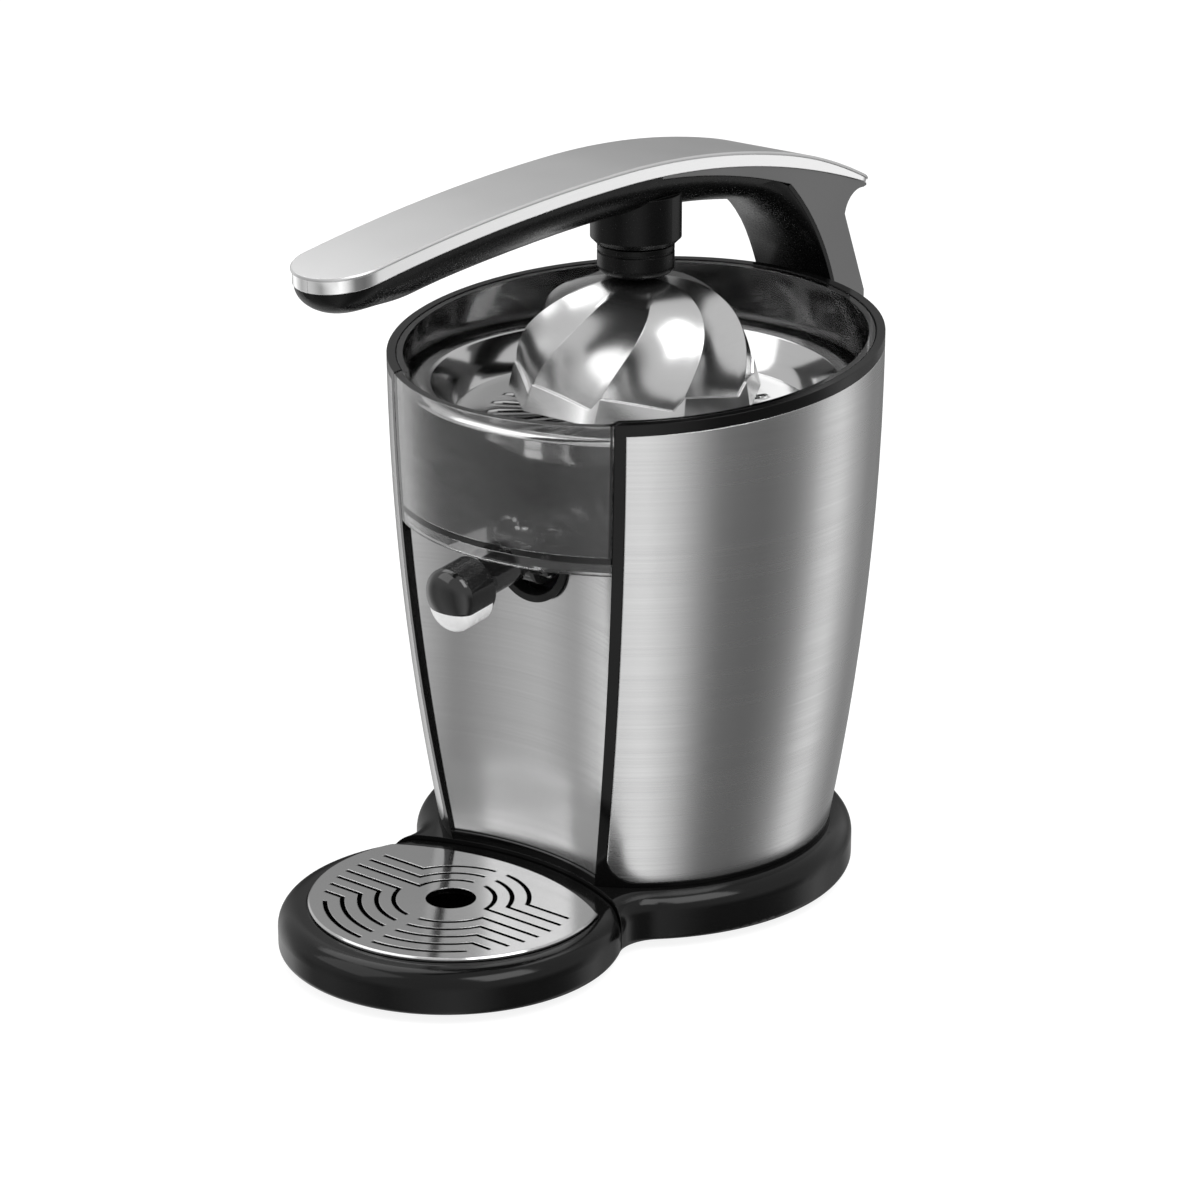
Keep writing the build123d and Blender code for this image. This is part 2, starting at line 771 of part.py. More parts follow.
with BuildPart() as chassis:
    add(barrel(0, drum_foot, rim_top))
    add(barrel(wall_inset, drum_foot, rim_top), mode=Mode.SUBTRACT)
    add(barrel(wall_inset - weld, deck_bottom, deck_top))
    add(barrel(wall_inset - weld, drum_foot, drum_foot + foot_flange))
    add(column(foot_flange_bore, drum_foot, drum_foot + foot_flange), mode=Mode.SUBTRACT)
    add(bay_back.part)
    add(bay_cut(bay_half_width, bay_back_radius, sill_height, panel_top), mode=Mode.SUBTRACT)
    add(bay_cut(bay_half_width, sill_radius, drum_foot, sill_height), mode=Mode.SUBTRACT)
    add(bay_cut(bay_half_width, bay_back_radius + chassis_wall, panel_top, rim_top), mode=Mode.SUBTRACT)
    add(shell_form(overrun, skin_inset, fit_gap), mode=Mode.SUBTRACT)
    split(bisect_by=rim_plane(0), keep=Keep.BOTTOM)
    add(deck_shelf.part)
    add(port_cut(port_radius, panel_reach - 2 * overrun, rim_radius), mode=Mode.SUBTRACT)
    add(holes(chassis_screw_places, screw_boss, drum_foot, drum_foot + screw_length + weld))
    add(
        holes(chassis_screw_places, screw_radius + fit_gap, drum_foot, drum_foot + screw_length),
        mode=Mode.SUBTRACT,
    )
    add(holes(hang_screw_places, hang_boss, gear_roof_top, deck_bottom + weld))
    add(
        holes(hang_screw_places, screw_radius + fit_gap, gear_roof_top, gear_roof_top + screw_length),
        mode=Mode.SUBTRACT,
    )
    add(column(bush_radius + fit_gap + upper_bush_boss, upper_bush_bottom, deck_top))
    add(column(bush_radius + fit_gap, upper_bush_bottom, deck_top), mode=Mode.SUBTRACT)
    add(
        back_bars(bracket_screw_places, screw_radius + fit_gap, foot_radius, rim_radius),
        mode=Mode.SUBTRACT,
    )
chassis.part.label = "chassis"
export_step(chassis.part, "parts/chassis.step")

with BuildPart() as outer_shell:
    add(shell_form(0, sheet, 0))
outer_shell.part.label = "outer_shell"
export_step(outer_shell.part, "parts/outer_shell.step")

with BuildPart() as front_panel:
    panel_foot = sill_height + fit_gap
    panel_crest = panel_top - fit_gap
    add(bay_column(bay_radius + sheet, panel_foot, panel_crest))
    add(bay_column(bay_radius, panel_foot, panel_crest), mode=Mode.SUBTRACT)
    add(window_block(bay_half_width - fit_gap, panel_foot, panel_crest), mode=Mode.INTERSECT)
    add(port_cut(port_radius, panel_reach - 2 * overrun, panel_reach + 2 * overrun), mode=Mode.SUBTRACT)
front_panel.part.label = "front_panel"
export_step(front_panel.part, "parts/front_panel.step")

with BuildPart() as spout_grommet:
    grommet_back = panel_reach - skin_inset - chassis_wall
    grommet_front = panel_reach + grommet_proud + (port_radius + grommet_flange) ** 2 / (2 * bay_radius)
    flange_back = grommet_front - grommet_proud
    with BuildSketch(front_plane.offset(grommet_back)):
        with Locations((0, port_height)):
            Circle(port_radius - fit_gap)
            Circle(port_radius - grommet_width, mode=Mode.SUBTRACT)
            Rectangle(2 * port_radius, port_radius, align=(Align.CENTER, Align.MIN), mode=Mode.SUBTRACT)
    extrude(amount=grommet_front - grommet_back)
    with BuildSketch(front_plane.offset(flange_back + fit_gap)):
        with Locations((0, port_height)):
            Circle(port_radius + grommet_flange)
            Circle(port_radius - grommet_width, mode=Mode.SUBTRACT)
            Rectangle(4 * port_radius, port_radius * 2, align=(Align.CENTER, Align.MIN), mode=Mode.SUBTRACT)
    extrude(amount=grommet_proud - fit_gap)
spout_grommet.part.label = "spout_grommet"
export_step(spout_grommet.part, "parts/spout_grommet.step")


# Collector, seal and strainer

collector_bore = rim_radius - collector_ring
strainer_flange = rim_radius - flange_ring
strainer_mouth = rim_radius - mouth_ring
strainer_floor_radius = strainer_mouth - strainer_flank
strainer_slot_out = strainer_floor_radius - strainer_slot_margin
chimney_radius = chimney_bore + chimney_wall
bowl_inset = wall_inset + lift_gap
floor_top = collector_floor + collector_wall
ear_inner = barrel_half_length + lift_gap

with BuildPart() as window_front:
    add(window_block(bay_half_width - lift_gap, collector_floor, rim_top))
    add(barrel(0, collector_floor, rim_top), mode=Mode.INTERSECT)

with BuildPart() as window_skirt:
    add(window_block(bay_half_width - lift_gap, skirt_height, collector_floor + weld))
    add(barrel(0, skirt_height, collector_floor + weld), mode=Mode.INTERSECT)
    add(barrel(window_wall, skirt_height, collector_floor + weld), mode=Mode.SUBTRACT)

with BuildPart() as window_pocket:
    add(window_block(bay_half_width - lift_gap - collector_wall, floor_top, rim_top))
    add(barrel(window_wall, floor_top, rim_top), mode=Mode.INTERSECT)

with BuildPart() as collector:
    add(barrel(bowl_inset, collector_floor, rim_top))
    add(window_front.part)
    add(window_skirt.part)
    add(column(collector_bore, floor_top, ledge_height), mode=Mode.SUBTRACT)
    add(barrel(bowl_inset + collector_wall, ledge_height, rim_top), mode=Mode.SUBTRACT)
    add(window_pocket.part, mode=Mode.SUBTRACT)
    split(bisect_by=rim_plane(collector_drop), keep=Keep.BOTTOM)
    add(column(chimney_radius, collector_floor, chimney_top))
    add(column(chimney_bore, collector_floor, chimney_top), mode=Mode.SUBTRACT)
    add(column(spout_inlet, collector_floor, floor_top, 0, -spout_reach), mode=Mode.SUBTRACT)
    for side in (-1, 1):
        ear_plane = Plane(
            origin=(side * (ear_inner + ear_thickness / 2), axis_y, 0), x_dir=(0, 1, 0), z_dir=(1, 0, 0)
        )
        with BuildSketch(ear_plane):
            with Locations((-spout_reach, spout_height)):
                Circle(ear_radius)
                Rectangle(
                    2 * ear_radius,
                    collector_floor + weld - spout_height,
                    align=(Align.CENTER, Align.MIN),
                )
                Circle(spout_pin_radius + running_gap, mode=Mode.SUBTRACT)
        extrude(amount=ear_thickness / 2, both=True)
collector.part.label = "collector"
export_step(collector.part, "parts/collector.step")

with BuildPart() as shaft_seal:
    seal_bore = shaft_radius + lift_gap
    add(tube(chimney_bore - fit_gap, seal_bore, seal_bottom, seal_bottom + seal_foot))
    add(tube(seal_bore + seal_foot, seal_bore, seal_bottom, seal_bottom + seal_height))
shaft_seal.part.label = "shaft_seal"
export_step(shaft_seal.part, "parts/shaft_seal.step")

with BuildPart() as strainer:
    flange_bottom = ledge_height + lift_gap
    flange_top = flange_bottom + sheet
    with BuildSketch(front_plane):
        with BuildLine():
            Polyline(
                (strainer_mouth, flange_top),
                (strainer_flange, flange_top),
                (strainer_flange, flange_bottom),
                (strainer_mouth + sheet, flange_bottom),
            )
            SagittaArc(
                (strainer_mouth + sheet, flange_bottom),
                (strainer_floor_radius, strainer_bottom),
                strainer_bow,
            )
            Polyline(
                (strainer_floor_radius, strainer_bottom),
                (strainer_hole, strainer_bottom),
                (strainer_hole, strainer_bottom + strainer_collar),
                (strainer_hole + sheet, strainer_bottom + strainer_collar),
                (strainer_hole + sheet, strainer_bottom + sheet),
                (strainer_floor_radius - sheet, strainer_bottom + sheet),
            )
            SagittaArc(
                (strainer_floor_radius - sheet, strainer_bottom + sheet),
                (strainer_mouth, flange_top),
                -strainer_bow,
            )
        make_face()
    revolve(axis=drum_axis)
    with BuildSketch(level(strainer_bottom)):
        with PolarLocations((strainer_slot_in + strainer_slot_out) / 2, strainer_slots):
            SlotOverall(strainer_slot_out - strainer_slot_in, strainer_slot_width)
    extrude(amount=sheet, mode=Mode.SUBTRACT)
strainer.part.label = "strainer"
export_step(strainer.part, "parts/strainer.step")


# Juicing cone: fluted and slightly twisted

cone_shoulder = cone_bottom + cone_skirt
cone_rise = cone_top - cone_shoulder


def fluted(height, radius, turn, share):
    """One cross section of the cone: ridges joined by flutes, hollowed by a share of the radius."""
    step = 2 * pi / cone_ridges
    first = radians(cone_phase + turn - 90)
    corners = []
    hollows = []
    for i in range(cone_ridges):
        angle = first + i * step
        depth = radius * cos(step / 2) - share * radius
        corners.append((radius * cos(angle), radius * sin(angle)))
        hollows.append((depth * cos(angle + step / 2), depth * sin(angle + step / 2)))
    with BuildSketch(level(height)) as face:
        with BuildLine():
            for i in range(cone_ridges):
                ThreePointArc(corners[i], hollows[i], corners[(i + 1) % cone_ridges])
        make_face()
    return face.sketch


with BuildPart() as juicing_cone:
    foot = fluted(cone_bottom, cone_foot_radius, 0, foot_flute_share)
    shoulder = fluted(cone_shoulder, cone_radius, 0, flute_low_share)
    loft([foot, shoulder], ruled=True)
    dome = []
    for share in cone_height_shares:
        radius = cone_radius * (1 - share ** cone_dome_share) ** (1 / cone_dome_share)
        turn = cone_twist * share ** cone_twist_power_share
        hollow_share = flute_low_share + (flute_top_share - flute_low_share) * share
        dome.append(fluted(cone_shoulder + share * cone_rise, radius, turn, hollow_share))
    loft(dome)
    with BuildSketch(front_plane):
        with BuildLine():
            Line((0, cone_bottom), (cone_radius * cone_hollow_share, cone_bottom))
            ThreePointArc(
                (cone_radius * cone_hollow_share, cone_bottom),
                (
                    cone_radius * cone_hollow_share * sqrt(3) / 2,
                    cone_bottom + (cone_hollow_top - cone_bottom) / 2,
                ),
                (hub_radius, cone_hollow_top),
            )
            Line((hub_radius, cone_hollow_top), (0, cone_hollow_top))
            Line((0, cone_hollow_top), (0, cone_bottom))
        make_face()
    revolve(axis=drum_axis, mode=Mode.SUBTRACT)
    add(column(hub_radius, cone_bottom, cone_hollow_top + weld))
    add(column(shaft_radius + running_gap, cone_bottom, shaft_top + lift_gap), mode=Mode.SUBTRACT)
juicing_cone.part.label = "juicing_cone"
export_step(juicing_cone.part, "parts/juicing_cone.step")


# Spout

spout_turn = radians(spout_slope)
spout_origin = (0, axis_y - spout_reach, spout_height)
spout_along = (0, -cos(spout_turn), -sin(spout_turn))
spout_plane = Plane(origin=spout_origin, x_dir=(1, 0, 0), z_dir=(0, sin(spout_turn), -cos(spout_turn)))
spout_face = Plane(origin=spout_origin, x_dir=(1, 0, 0), z_dir=spout_along)
inlet_turn = radians(spout_inlet_lean)
inlet_plane = Plane(origin=spout_origin, x_dir=(1, 0, 0), z_dir=(0, sin(inlet_turn), cos(inlet_turn)))


def spout_form(inset, drop):
    """Neck, head and rounded nose of the spout, drawn in all round, and let down by a drop."""
    head = spout_head_radius - inset
    neck = spout_neck_radius - inset
    nose = nose_share * head
    tip = spout_length - inset
    lower_plane = Plane(
        origin=(0, axis_y - spout_reach - drop * sin(spout_turn), spout_height - drop * cos(spout_turn)),
        x_dir=(1, 0, 0),
        z_dir=spout_plane.z_dir,
    )
    with BuildPart() as solid:
        with BuildSketch(lower_plane):
            with BuildLine():
                Polyline((0, 0), (neck, 0), (neck, spout_neck_length), (head, spout_head_start))
                Line((head, spout_head_start), (head, tip - nose))
                EllipticalCenterArc((0, tip - nose), head, nose, start_angle=0, arc_size=quarter_turn)
                Line((0, tip), (0, 0))
            make_face()
        revolve(axis=Axis(lower_plane.origin, spout_along))
    return solid.part


mouth_y = axis_y - spout_reach - mouth_along * cos(spout_turn)
mouth_height = spout_height - mouth_along * sin(spout_turn)
mouth_plane = Plane(
    origin=(0, mouth_y, mouth_height),
    x_dir=(1, 0, 0),
    z_dir=spout_plane.z_dir,
)

with BuildPart() as spout:
    add(cross_bar(barrel_radius, barrel_half_length, -spout_reach, spout_height))
    add(cross_bar(spout_pin_radius, ear_inner + ear_thickness, -spout_reach, spout_height))
    add(spout_form(0, 0))
    add(spout_form(spout_wall, 0), mode=Mode.SUBTRACT)
    with BuildSketch(mouth_plane):
        Circle(mouth_radius)
    extrude(amount=spout_head_radius + overrun, mode=Mode.SUBTRACT)
    with BuildSketch(inlet_plane):
        Circle(spout_inlet)
    extrude(amount=barrel_radius + overrun, mode=Mode.SUBTRACT)
spout.part.label = "spout"
export_step(spout.part, "parts/spout.step")

with BuildPart() as spout_lip:
    add(spout_form(lip_narrow, lip_drop))
    add(spout_form(-fit_gap, 0), mode=Mode.SUBTRACT)
    split(bisect_by=spout_face.offset(lip_start), keep=Keep.TOP)
    with BuildSketch(mouth_plane):
        Circle(mouth_radius)
    extrude(amount=spout_head_radius + lip_drop + overrun, mode=Mode.SUBTRACT)
spout_lip.part.label = "spout_lip"
export_step(spout_lip.part, "parts/spout_lip.step")


# Drive: shaft, gears, motor and the press-to-start slide

def gear_outline(inset, bottom, top):
    """The outline of the gear housing round both gear axes, drawn in all round."""
    reach = gear_reach - inset
    with BuildPart() as solid:
        with BuildSketch(level(bottom)):
            with Locations((0, 0), (0, hang_pitch)):
                Circle(reach)
            with Locations((0, hang_pitch / 2)):
                Rectangle(2 * reach, hang_pitch)
        extrude(amount=top - bottom)
    return solid.part


half_tooth_idler = 180 / idler_teeth
half_tooth_motor = 180 / motor_teeth

with BuildPart() as drive_shaft:
    add(column(shaft_radius, shaft_bottom, shaft_top))
    add(column(shoulder_radius, shoulder_bottom, shoulder_bottom + shoulder_height))
    chamfer(drive_shaft.faces().sort_by(Axis.Z)[-1].edges(), shaft_bevel)
drive_shaft.part.label = "drive_shaft"
export_step(drive_shaft.part, "parts/drive_shaft.step")

with BuildPart() as output_gear:
    add(gear(output_teeth, 0, output_bottom, output_top - output_bottom, gear_phase))
    add(column(shaft_radius + running_gap, output_bottom, output_top), mode=Mode.SUBTRACT)
output_gear.part.label = "output_gear"
export_step(output_gear.part, "parts/output_gear.step")

with BuildPart() as idler_gear:
    add(gear(wheel_teeth, hang_pitch, wheel_bottom, wheel_top - wheel_bottom, -gear_phase))
    add(gear(idler_teeth, hang_pitch, wheel_top, idler_top - wheel_top, half_tooth_idler - gear_phase))
    add(column(idler_pin_radius + running_gap, wheel_bottom, idler_top, 0, hang_pitch), mode=Mode.SUBTRACT)
idler_gear.part.label = "idler_gear"
export_step(idler_gear.part, "parts/idler_gear.step")

with BuildPart() as motor_pinion:
    add(gear(motor_teeth, 0, pinion_bottom, pinion_top - pinion_bottom, gear_phase + half_tooth_motor))
    add(column(motor_shaft_radius + running_gap, pinion_bottom, pinion_top), mode=Mode.SUBTRACT)
motor_pinion.part.label = "motor_pinion"
export_step(motor_pinion.part, "parts/motor_pinion.step")

with BuildPart() as idler_pin:
    add(column(idler_pin_radius, gear_plate_bottom, gear_roof_bottom + chassis_wall, 0, hang_pitch))
idler_pin.part.label = "idler_pin"
export_step(idler_pin.part, "parts/idler_pin.step")

with BuildPart() as gear_plate:
    add(gear_outline(-gear_wall, gear_plate_bottom, gear_plate_top))
    add(column(pin_seat_radius, gear_plate_bottom, gear_plate_top, 0, hang_pitch), mode=Mode.SUBTRACT)
    add(column(motor_shaft_radius + lift_gap, gear_plate_bottom, gear_plate_top), mode=Mode.SUBTRACT)
    add(
        holes(gear_plate_places, screw_radius + fit_gap, gear_plate_bottom, gear_plate_top),
        mode=Mode.SUBTRACT,
    )
gear_plate.part.label = "gear_plate"
export_step(gear_plate.part, "parts/gear_plate.step")

with BuildPart() as gear_cover:
    add(gear_outline(-gear_wall, gear_plate_top, gear_roof_top))
    add(gear_outline(0, gear_plate_top, gear_roof_bottom), mode=Mode.SUBTRACT)
    add(holes(plate_screw_places, plate_boss, gear_plate_top, gear_roof_bottom + weld))
    add(
        holes(plate_screw_places, screw_radius + fit_gap, gear_plate_top, gear_plate_top + screw_length),
        mode=Mode.SUBTRACT,
    )
    add(
        holes(hang_screw_places, screw_radius + fit_gap, gear_roof_bottom, gear_roof_top),
        mode=Mode.SUBTRACT,
    )
    add(column(bush_radius + fit_gap, gear_roof_bottom, gear_roof_top), mode=Mode.SUBTRACT)
    add(
        column(pin_seat_radius, gear_roof_bottom, gear_roof_bottom + chassis_wall + fit_gap, 0, hang_pitch),
        mode=Mode.SUBTRACT,
    )
gear_cover.part.label = "gear_cover"
export_step(gear_cover.part, "parts/gear_cover.step")

with BuildPart() as hang_screws:
    add(screws(hang_screw_places, gear_roof_bottom - screw_head, screw_length))
hang_screws.part.label = "hang_screws"
export_step(hang_screws.part, "parts/hang_screws.step")

with BuildPart() as plate_screws:
    add(screws(plate_screw_places, gear_plate_bottom - screw_head, screw_length))
plate_screws.part.label = "plate_screws"
export_step(plate_screws.part, "parts/plate_screws.step")

with BuildPart() as shaft_bushes:
    add(tube(bush_radius, shaft_radius + running_gap, lower_bush_bottom, lower_bush_top))
    add(tube(bush_radius, shaft_radius + running_gap, upper_bush_bottom, deck_top))
shaft_bushes.part.label = "shaft_bushes"
export_step(shaft_bushes.part, "parts/shaft_bushes.step")

with BuildPart() as thrust_collar:
    add(
        tube(
            collar_radius,
            shaft_radius + running_gap,
            shoulder_bottom - running_gap - collar_thickness,
            shoulder_bottom - running_gap,
        )
    )
thrust_collar.part.label = "thrust_collar"
export_step(thrust_collar.part, "parts/thrust_collar.step")

spring_bottom = gear_roof_top + running_gap
spring_top = shoulder_bottom - collar_thickness - 2 * running_gap
with BuildPart() as return_spring:
    disc = (spring_top - spring_bottom) / spring_rings
    with BuildSketch(front_plane):
        with BuildLine():
            left = [(spring_inner, spring_bottom)]
            right = [(spring_inner + sheet, spring_bottom)]
            for i in range(spring_rings):
                out = i % 2 == 0
                left.append((spring_outer if out else spring_inner, spring_bottom + (i + 1) * disc))
                right.append((left[-1][0] + sheet, left[-1][1]))
            Polyline(*left)
            Line(left[-1], right[-1])
            Polyline(*right)
            Line(right[0], left[0])
        make_face()
    revolve(axis=drum_axis)
return_spring.part.label = "return_spring"
export_step(return_spring.part, "parts/return_spring.step")

with BuildPart() as start_switch:
    switch_top = shoulder_bottom - collar_thickness - running_gap - press_travel - lift_gap
    with BuildSketch(level(gear_roof_top)):
        with Locations((0, -switch_reach)):
            Rectangle(switch_width, switch_length)
    extrude(amount=switch_height - switch_button - fit_gap)
    with BuildSketch(level(gear_roof_top)):
        with Locations((0, -collar_radius - switch_button / 2)):
            Rectangle(switch_width / 2, 2 * switch_button)
    extrude(amount=switch_top - gear_roof_top)
start_switch.part.label = "start_switch"
export_step(start_switch.part, "parts/start_switch.step")

motor_top = gear_plate_bottom
with BuildPart() as motor_can:
    add(column(motor_radius, motor_bottom, motor_top))
    add(
        column(motor_radius - motor_wall, motor_bottom + motor_end, motor_top - motor_end),
        mode=Mode.SUBTRACT,
    )
    add(
        column(bearing_radius + fit_gap, motor_bottom + motor_wall, motor_bottom + motor_end),
        mode=Mode.SUBTRACT,
    )
    add(column(bearing_radius + fit_gap, motor_top - motor_end, motor_top - motor_wall), mode=Mode.SUBTRACT)
    add(column(motor_shaft_radius + lift_gap, motor_top - motor_end, motor_top), mode=Mode.SUBTRACT)
    add(
        holes(motor_screw_places, screw_radius + fit_gap, motor_top - motor_end, motor_top),
        mode=Mode.SUBTRACT,
    )
motor_can.part.label = "motor_can"
export_step(motor_can.part, "parts/motor_can.step")

with BuildPart() as motor_screws:
    with BuildSketch(level(motor_top - motor_end + fit_gap)):
        with Locations(*motor_screw_places):
            Circle(screw_radius)
    extrude(amount=gear_plate_top - motor_top + motor_end - fit_gap)
    with BuildSketch(level(gear_plate_top)):
        with Locations(*motor_screw_places):
            Circle(screw_head_radius)
    extrude(amount=screw_head)
motor_screws.part.label = "motor_screws"
export_step(motor_screws.part, "parts/motor_screws.step")

with BuildPart() as stator:
    with BuildSketch(level(stator_bottom)):
        Circle(motor_radius - motor_wall - fit_gap)
        Circle(stator_bore, mode=Mode.SUBTRACT)
        with PolarLocations(stator_bore + stator_slot_depth / 2, stator_slots):
            Rectangle(stator_slot_depth + weld, stator_slot_width, mode=Mode.SUBTRACT)
    extrude(amount=stator_top - stator_bottom)
stator.part.label = "stator"
export_step(stator.part, "parts/stator.step")

with BuildPart() as motor_bearings:
    low = motor_bottom + motor_wall
    high = motor_top - motor_wall
    add(tube(bearing_radius, motor_shaft_radius + running_gap, low + fit_gap, low + bearing_height))
    add(tube(bearing_radius, motor_shaft_radius + running_gap, high - bearing_height, high - fit_gap))
motor_bearings.part.label = "motor_bearings"
export_step(motor_bearings.part, "parts/motor_bearings.step")

with BuildPart() as rotor:
    add(column(rotor_radius, stator_bottom + weld, stator_top - weld))
    add(column(motor_shaft_radius, motor_bottom + motor_wall + lift_gap, pinion_top))
rotor.part.label = "rotor"
export_step(rotor.part, "parts/rotor.step")


# Lever arm

tip_height = crown_height - tip_fall
beak_height = crown_height - beak_fall
tip_centre = tip_half_width - arm_front_reach    # middle of the round end
trim_drop = cover_thickness + fit_gap
body_drop = trim_drop + trim_height + fit_gap


def arm_half_width(y, inset):
    """Half the arm's width at a place along it, drawn in all round."""
    if y < tip_centre:
        return sqrt((tip_half_width - inset) ** 2 - (tip_centre - y) ** 2)
    widening = (beak_half_width - tip_half_width) / (arm_back_reach - tip_centre)
    return tip_half_width - inset + widening * (y - tip_centre)


def arm_plan(inset, bottom, top):
    """The arm seen from above, drawn in all round, as a block between two heights."""
    tip_half = tip_half_width - inset
    beak_half = beak_half_width - inset
    beak_y = arm_back_reach - inset
    with BuildPart() as solid:
        with BuildSketch(level(bottom)) as face:
            with BuildLine():
                Line((tip_half, tip_centre), (beak_half, beak_y))
                Line((beak_half, beak_y), (-beak_half, beak_y))
                Line((-beak_half, beak_y), (-tip_half, tip_centre))
                ThreePointArc((-tip_half, tip_centre), (0, inset - arm_front_reach), (tip_half, tip_centre))
            make_face()
            fillet(face.vertices().sort_by(Axis.Y)[-2:], beak_corner)
        extrude(amount=top - bottom)
    return solid.part


def arm_top(y):
    """Height of the arm's upper face at a place along it."""
    front = y < -crown_reach
    run = arm_front_reach - crown_reach if front else arm_back_reach + crown_reach
    drop = tip_fall if front else beak_fall
    bow = (run ** 2 + drop ** 2) / (2 * drop)
    return crown_height - bow + sqrt(bow ** 2 - (y + crown_reach) ** 2)


def arm_slab(inset, upper, lower):
    """A curved layer of the arm between two depths under its upper face."""
    ends = (-arm_front_reach, tip_height), (-crown_reach, crown_height), (arm_back_reach, beak_height)
    above = [(y, h - upper) for y, h in ends]
    below = [(y, h - lower) for y, h in ends]
    with BuildPart() as solid:
        with BuildSketch(side_plane):
            with BuildLine():
                TangentArc(above[1], above[0], tangent=(-1, 0))
                TangentArc(above[1], above[2], tangent=(1, 0))
                Line(above[2], below[2])
                TangentArc(below[1], below[2], tangent=(1, 0))
                TangentArc(below[1], below[0], tangent=(-1, 0))
                Line(below[0], above[0])
            make_face()
        extrude(amount=beak_half_width, both=True)
        add(arm_plan(inset, beak_height - lower - overrun, crown_height + overrun), mode=Mode.INTERSECT)
    return solid.part


with BuildPart() as arm_cover:
    add(arm_slab(0, 0, cover_thickness))
arm_cover.part.label = "arm_cover"
export_step(arm_cover.part, "parts/arm_cover.step")

with BuildPart() as arm_trim:
    add(arm_slab(trim_inset, trim_drop, trim_drop + trim_height))
arm_trim.part.label = "arm_trim"
export_step(arm_trim.part, "parts/arm_trim.step")

post_foot_height = hinge_height + post_foot_rise
post_start = (hinge_reach - post_top_inset, crown_height - post_top_fall)
post_end = (hinge_reach - post_inset, post_foot_height)
post_run = (post_end[0] - post_start[0], post_end[1] - post_start[1])
post_length = sqrt(post_run[0] ** 2 + post_run[1] ** 2)
into_post = (-post_run[1] / post_length, post_run[0] / post_length)


def beside_post(point, depth):
    """A point of the post's inner face, moved into the post."""
    return (point[0] + into_post[0] * depth, point[1] + into_post[1] * depth)


def hull_section(share, depth_share):
    """One cross section of the arm's belly: half an ellipse under two upright sides."""
    y = -arm_front_reach * share
    half = arm_half_width(y, arm_inset)
    rim = arm_top(y) - body_drop
    roof = rim + hull_side
    with BuildSketch(front_plane.offset(-y)) as face:
        with BuildLine():
            depth = hull_depth * depth_share
            EllipticalCenterArc((0, rim), half, depth, start_angle=180, arc_size=2 * quarter_turn)
            Polyline((half, rim), (half, roof), (-half, roof), (-half, rim))
        make_face()
    return face.sketch


body_tip = (arm_inset - arm_front_reach, arm_top(arm_inset - arm_front_reach) - body_drop)
body_crown = (-crown_reach, crown_height - body_drop)
wedge_start = (-wedge_reach, arm_top(-wedge_reach) - body_drop)
wedge_low = (wedge_start[0], wedge_start[1] - wedge_step)
wedge_stop = beside_post(post_start, liner_thickness)
hull_stop = beside_post(post_start, liner_thickness / 2)
hull_foot = beside_post(post_end, liner_thickness / 2)
knuckle_room = cross_bar(knuckle_radius + ear_gap, post_half_width + overrun, hinge_reach, hinge_height)

with BuildPart() as sleeve:
    add(column(sleeve_radius, sleeve_bottom, crown_height - sleeve_fall))
    chamfer(sleeve.faces().sort_by(Axis.Z)[0].edges(), sleeve_bevel)

with BuildPart() as arm_liner:
    loft([hull_section(*shares) for shares in zip(hull_reach_shares, hull_depth_shares)])
    with BuildSketch(side_plane):
        with BuildLine():
            TangentArc(body_crown, body_tip, tangent=(-1, 0))
            Polyline(body_tip, (body_tip[0], hull_foot[1]), hull_foot)
            SagittaArc(hull_foot, hull_stop, -post_sag)
            Line(hull_stop, wedge_stop)
            SagittaArc(wedge_low, wedge_stop, wedge_sag)
            Line(wedge_low, wedge_start)
            TangentArc(body_crown, wedge_start, tangent=(1, 0))
        make_face()
    extrude(amount=beak_half_width, both=True, mode=Mode.INTERSECT)
    add(sleeve.part)
    add(column(pad_stem + fit_gap, sleeve_bottom, pad_stem_top + fit_gap), mode=Mode.SUBTRACT)
    with BuildSketch(side_plane):
        with BuildLine():
            SagittaArc(post_start, post_end, post_sag)
            Line(post_end, beside_post(post_end, liner_thickness))
            SagittaArc(beside_post(post_end, liner_thickness), wedge_stop, -post_sag)
            Line(wedge_stop, post_start)
        make_face()
    extrude(amount=post_half_width, both=True)
    add(knuckle_room, mode=Mode.SUBTRACT)
arm_liner.part.label = "arm_liner"
export_step(arm_liner.part, "parts/arm_liner.step")

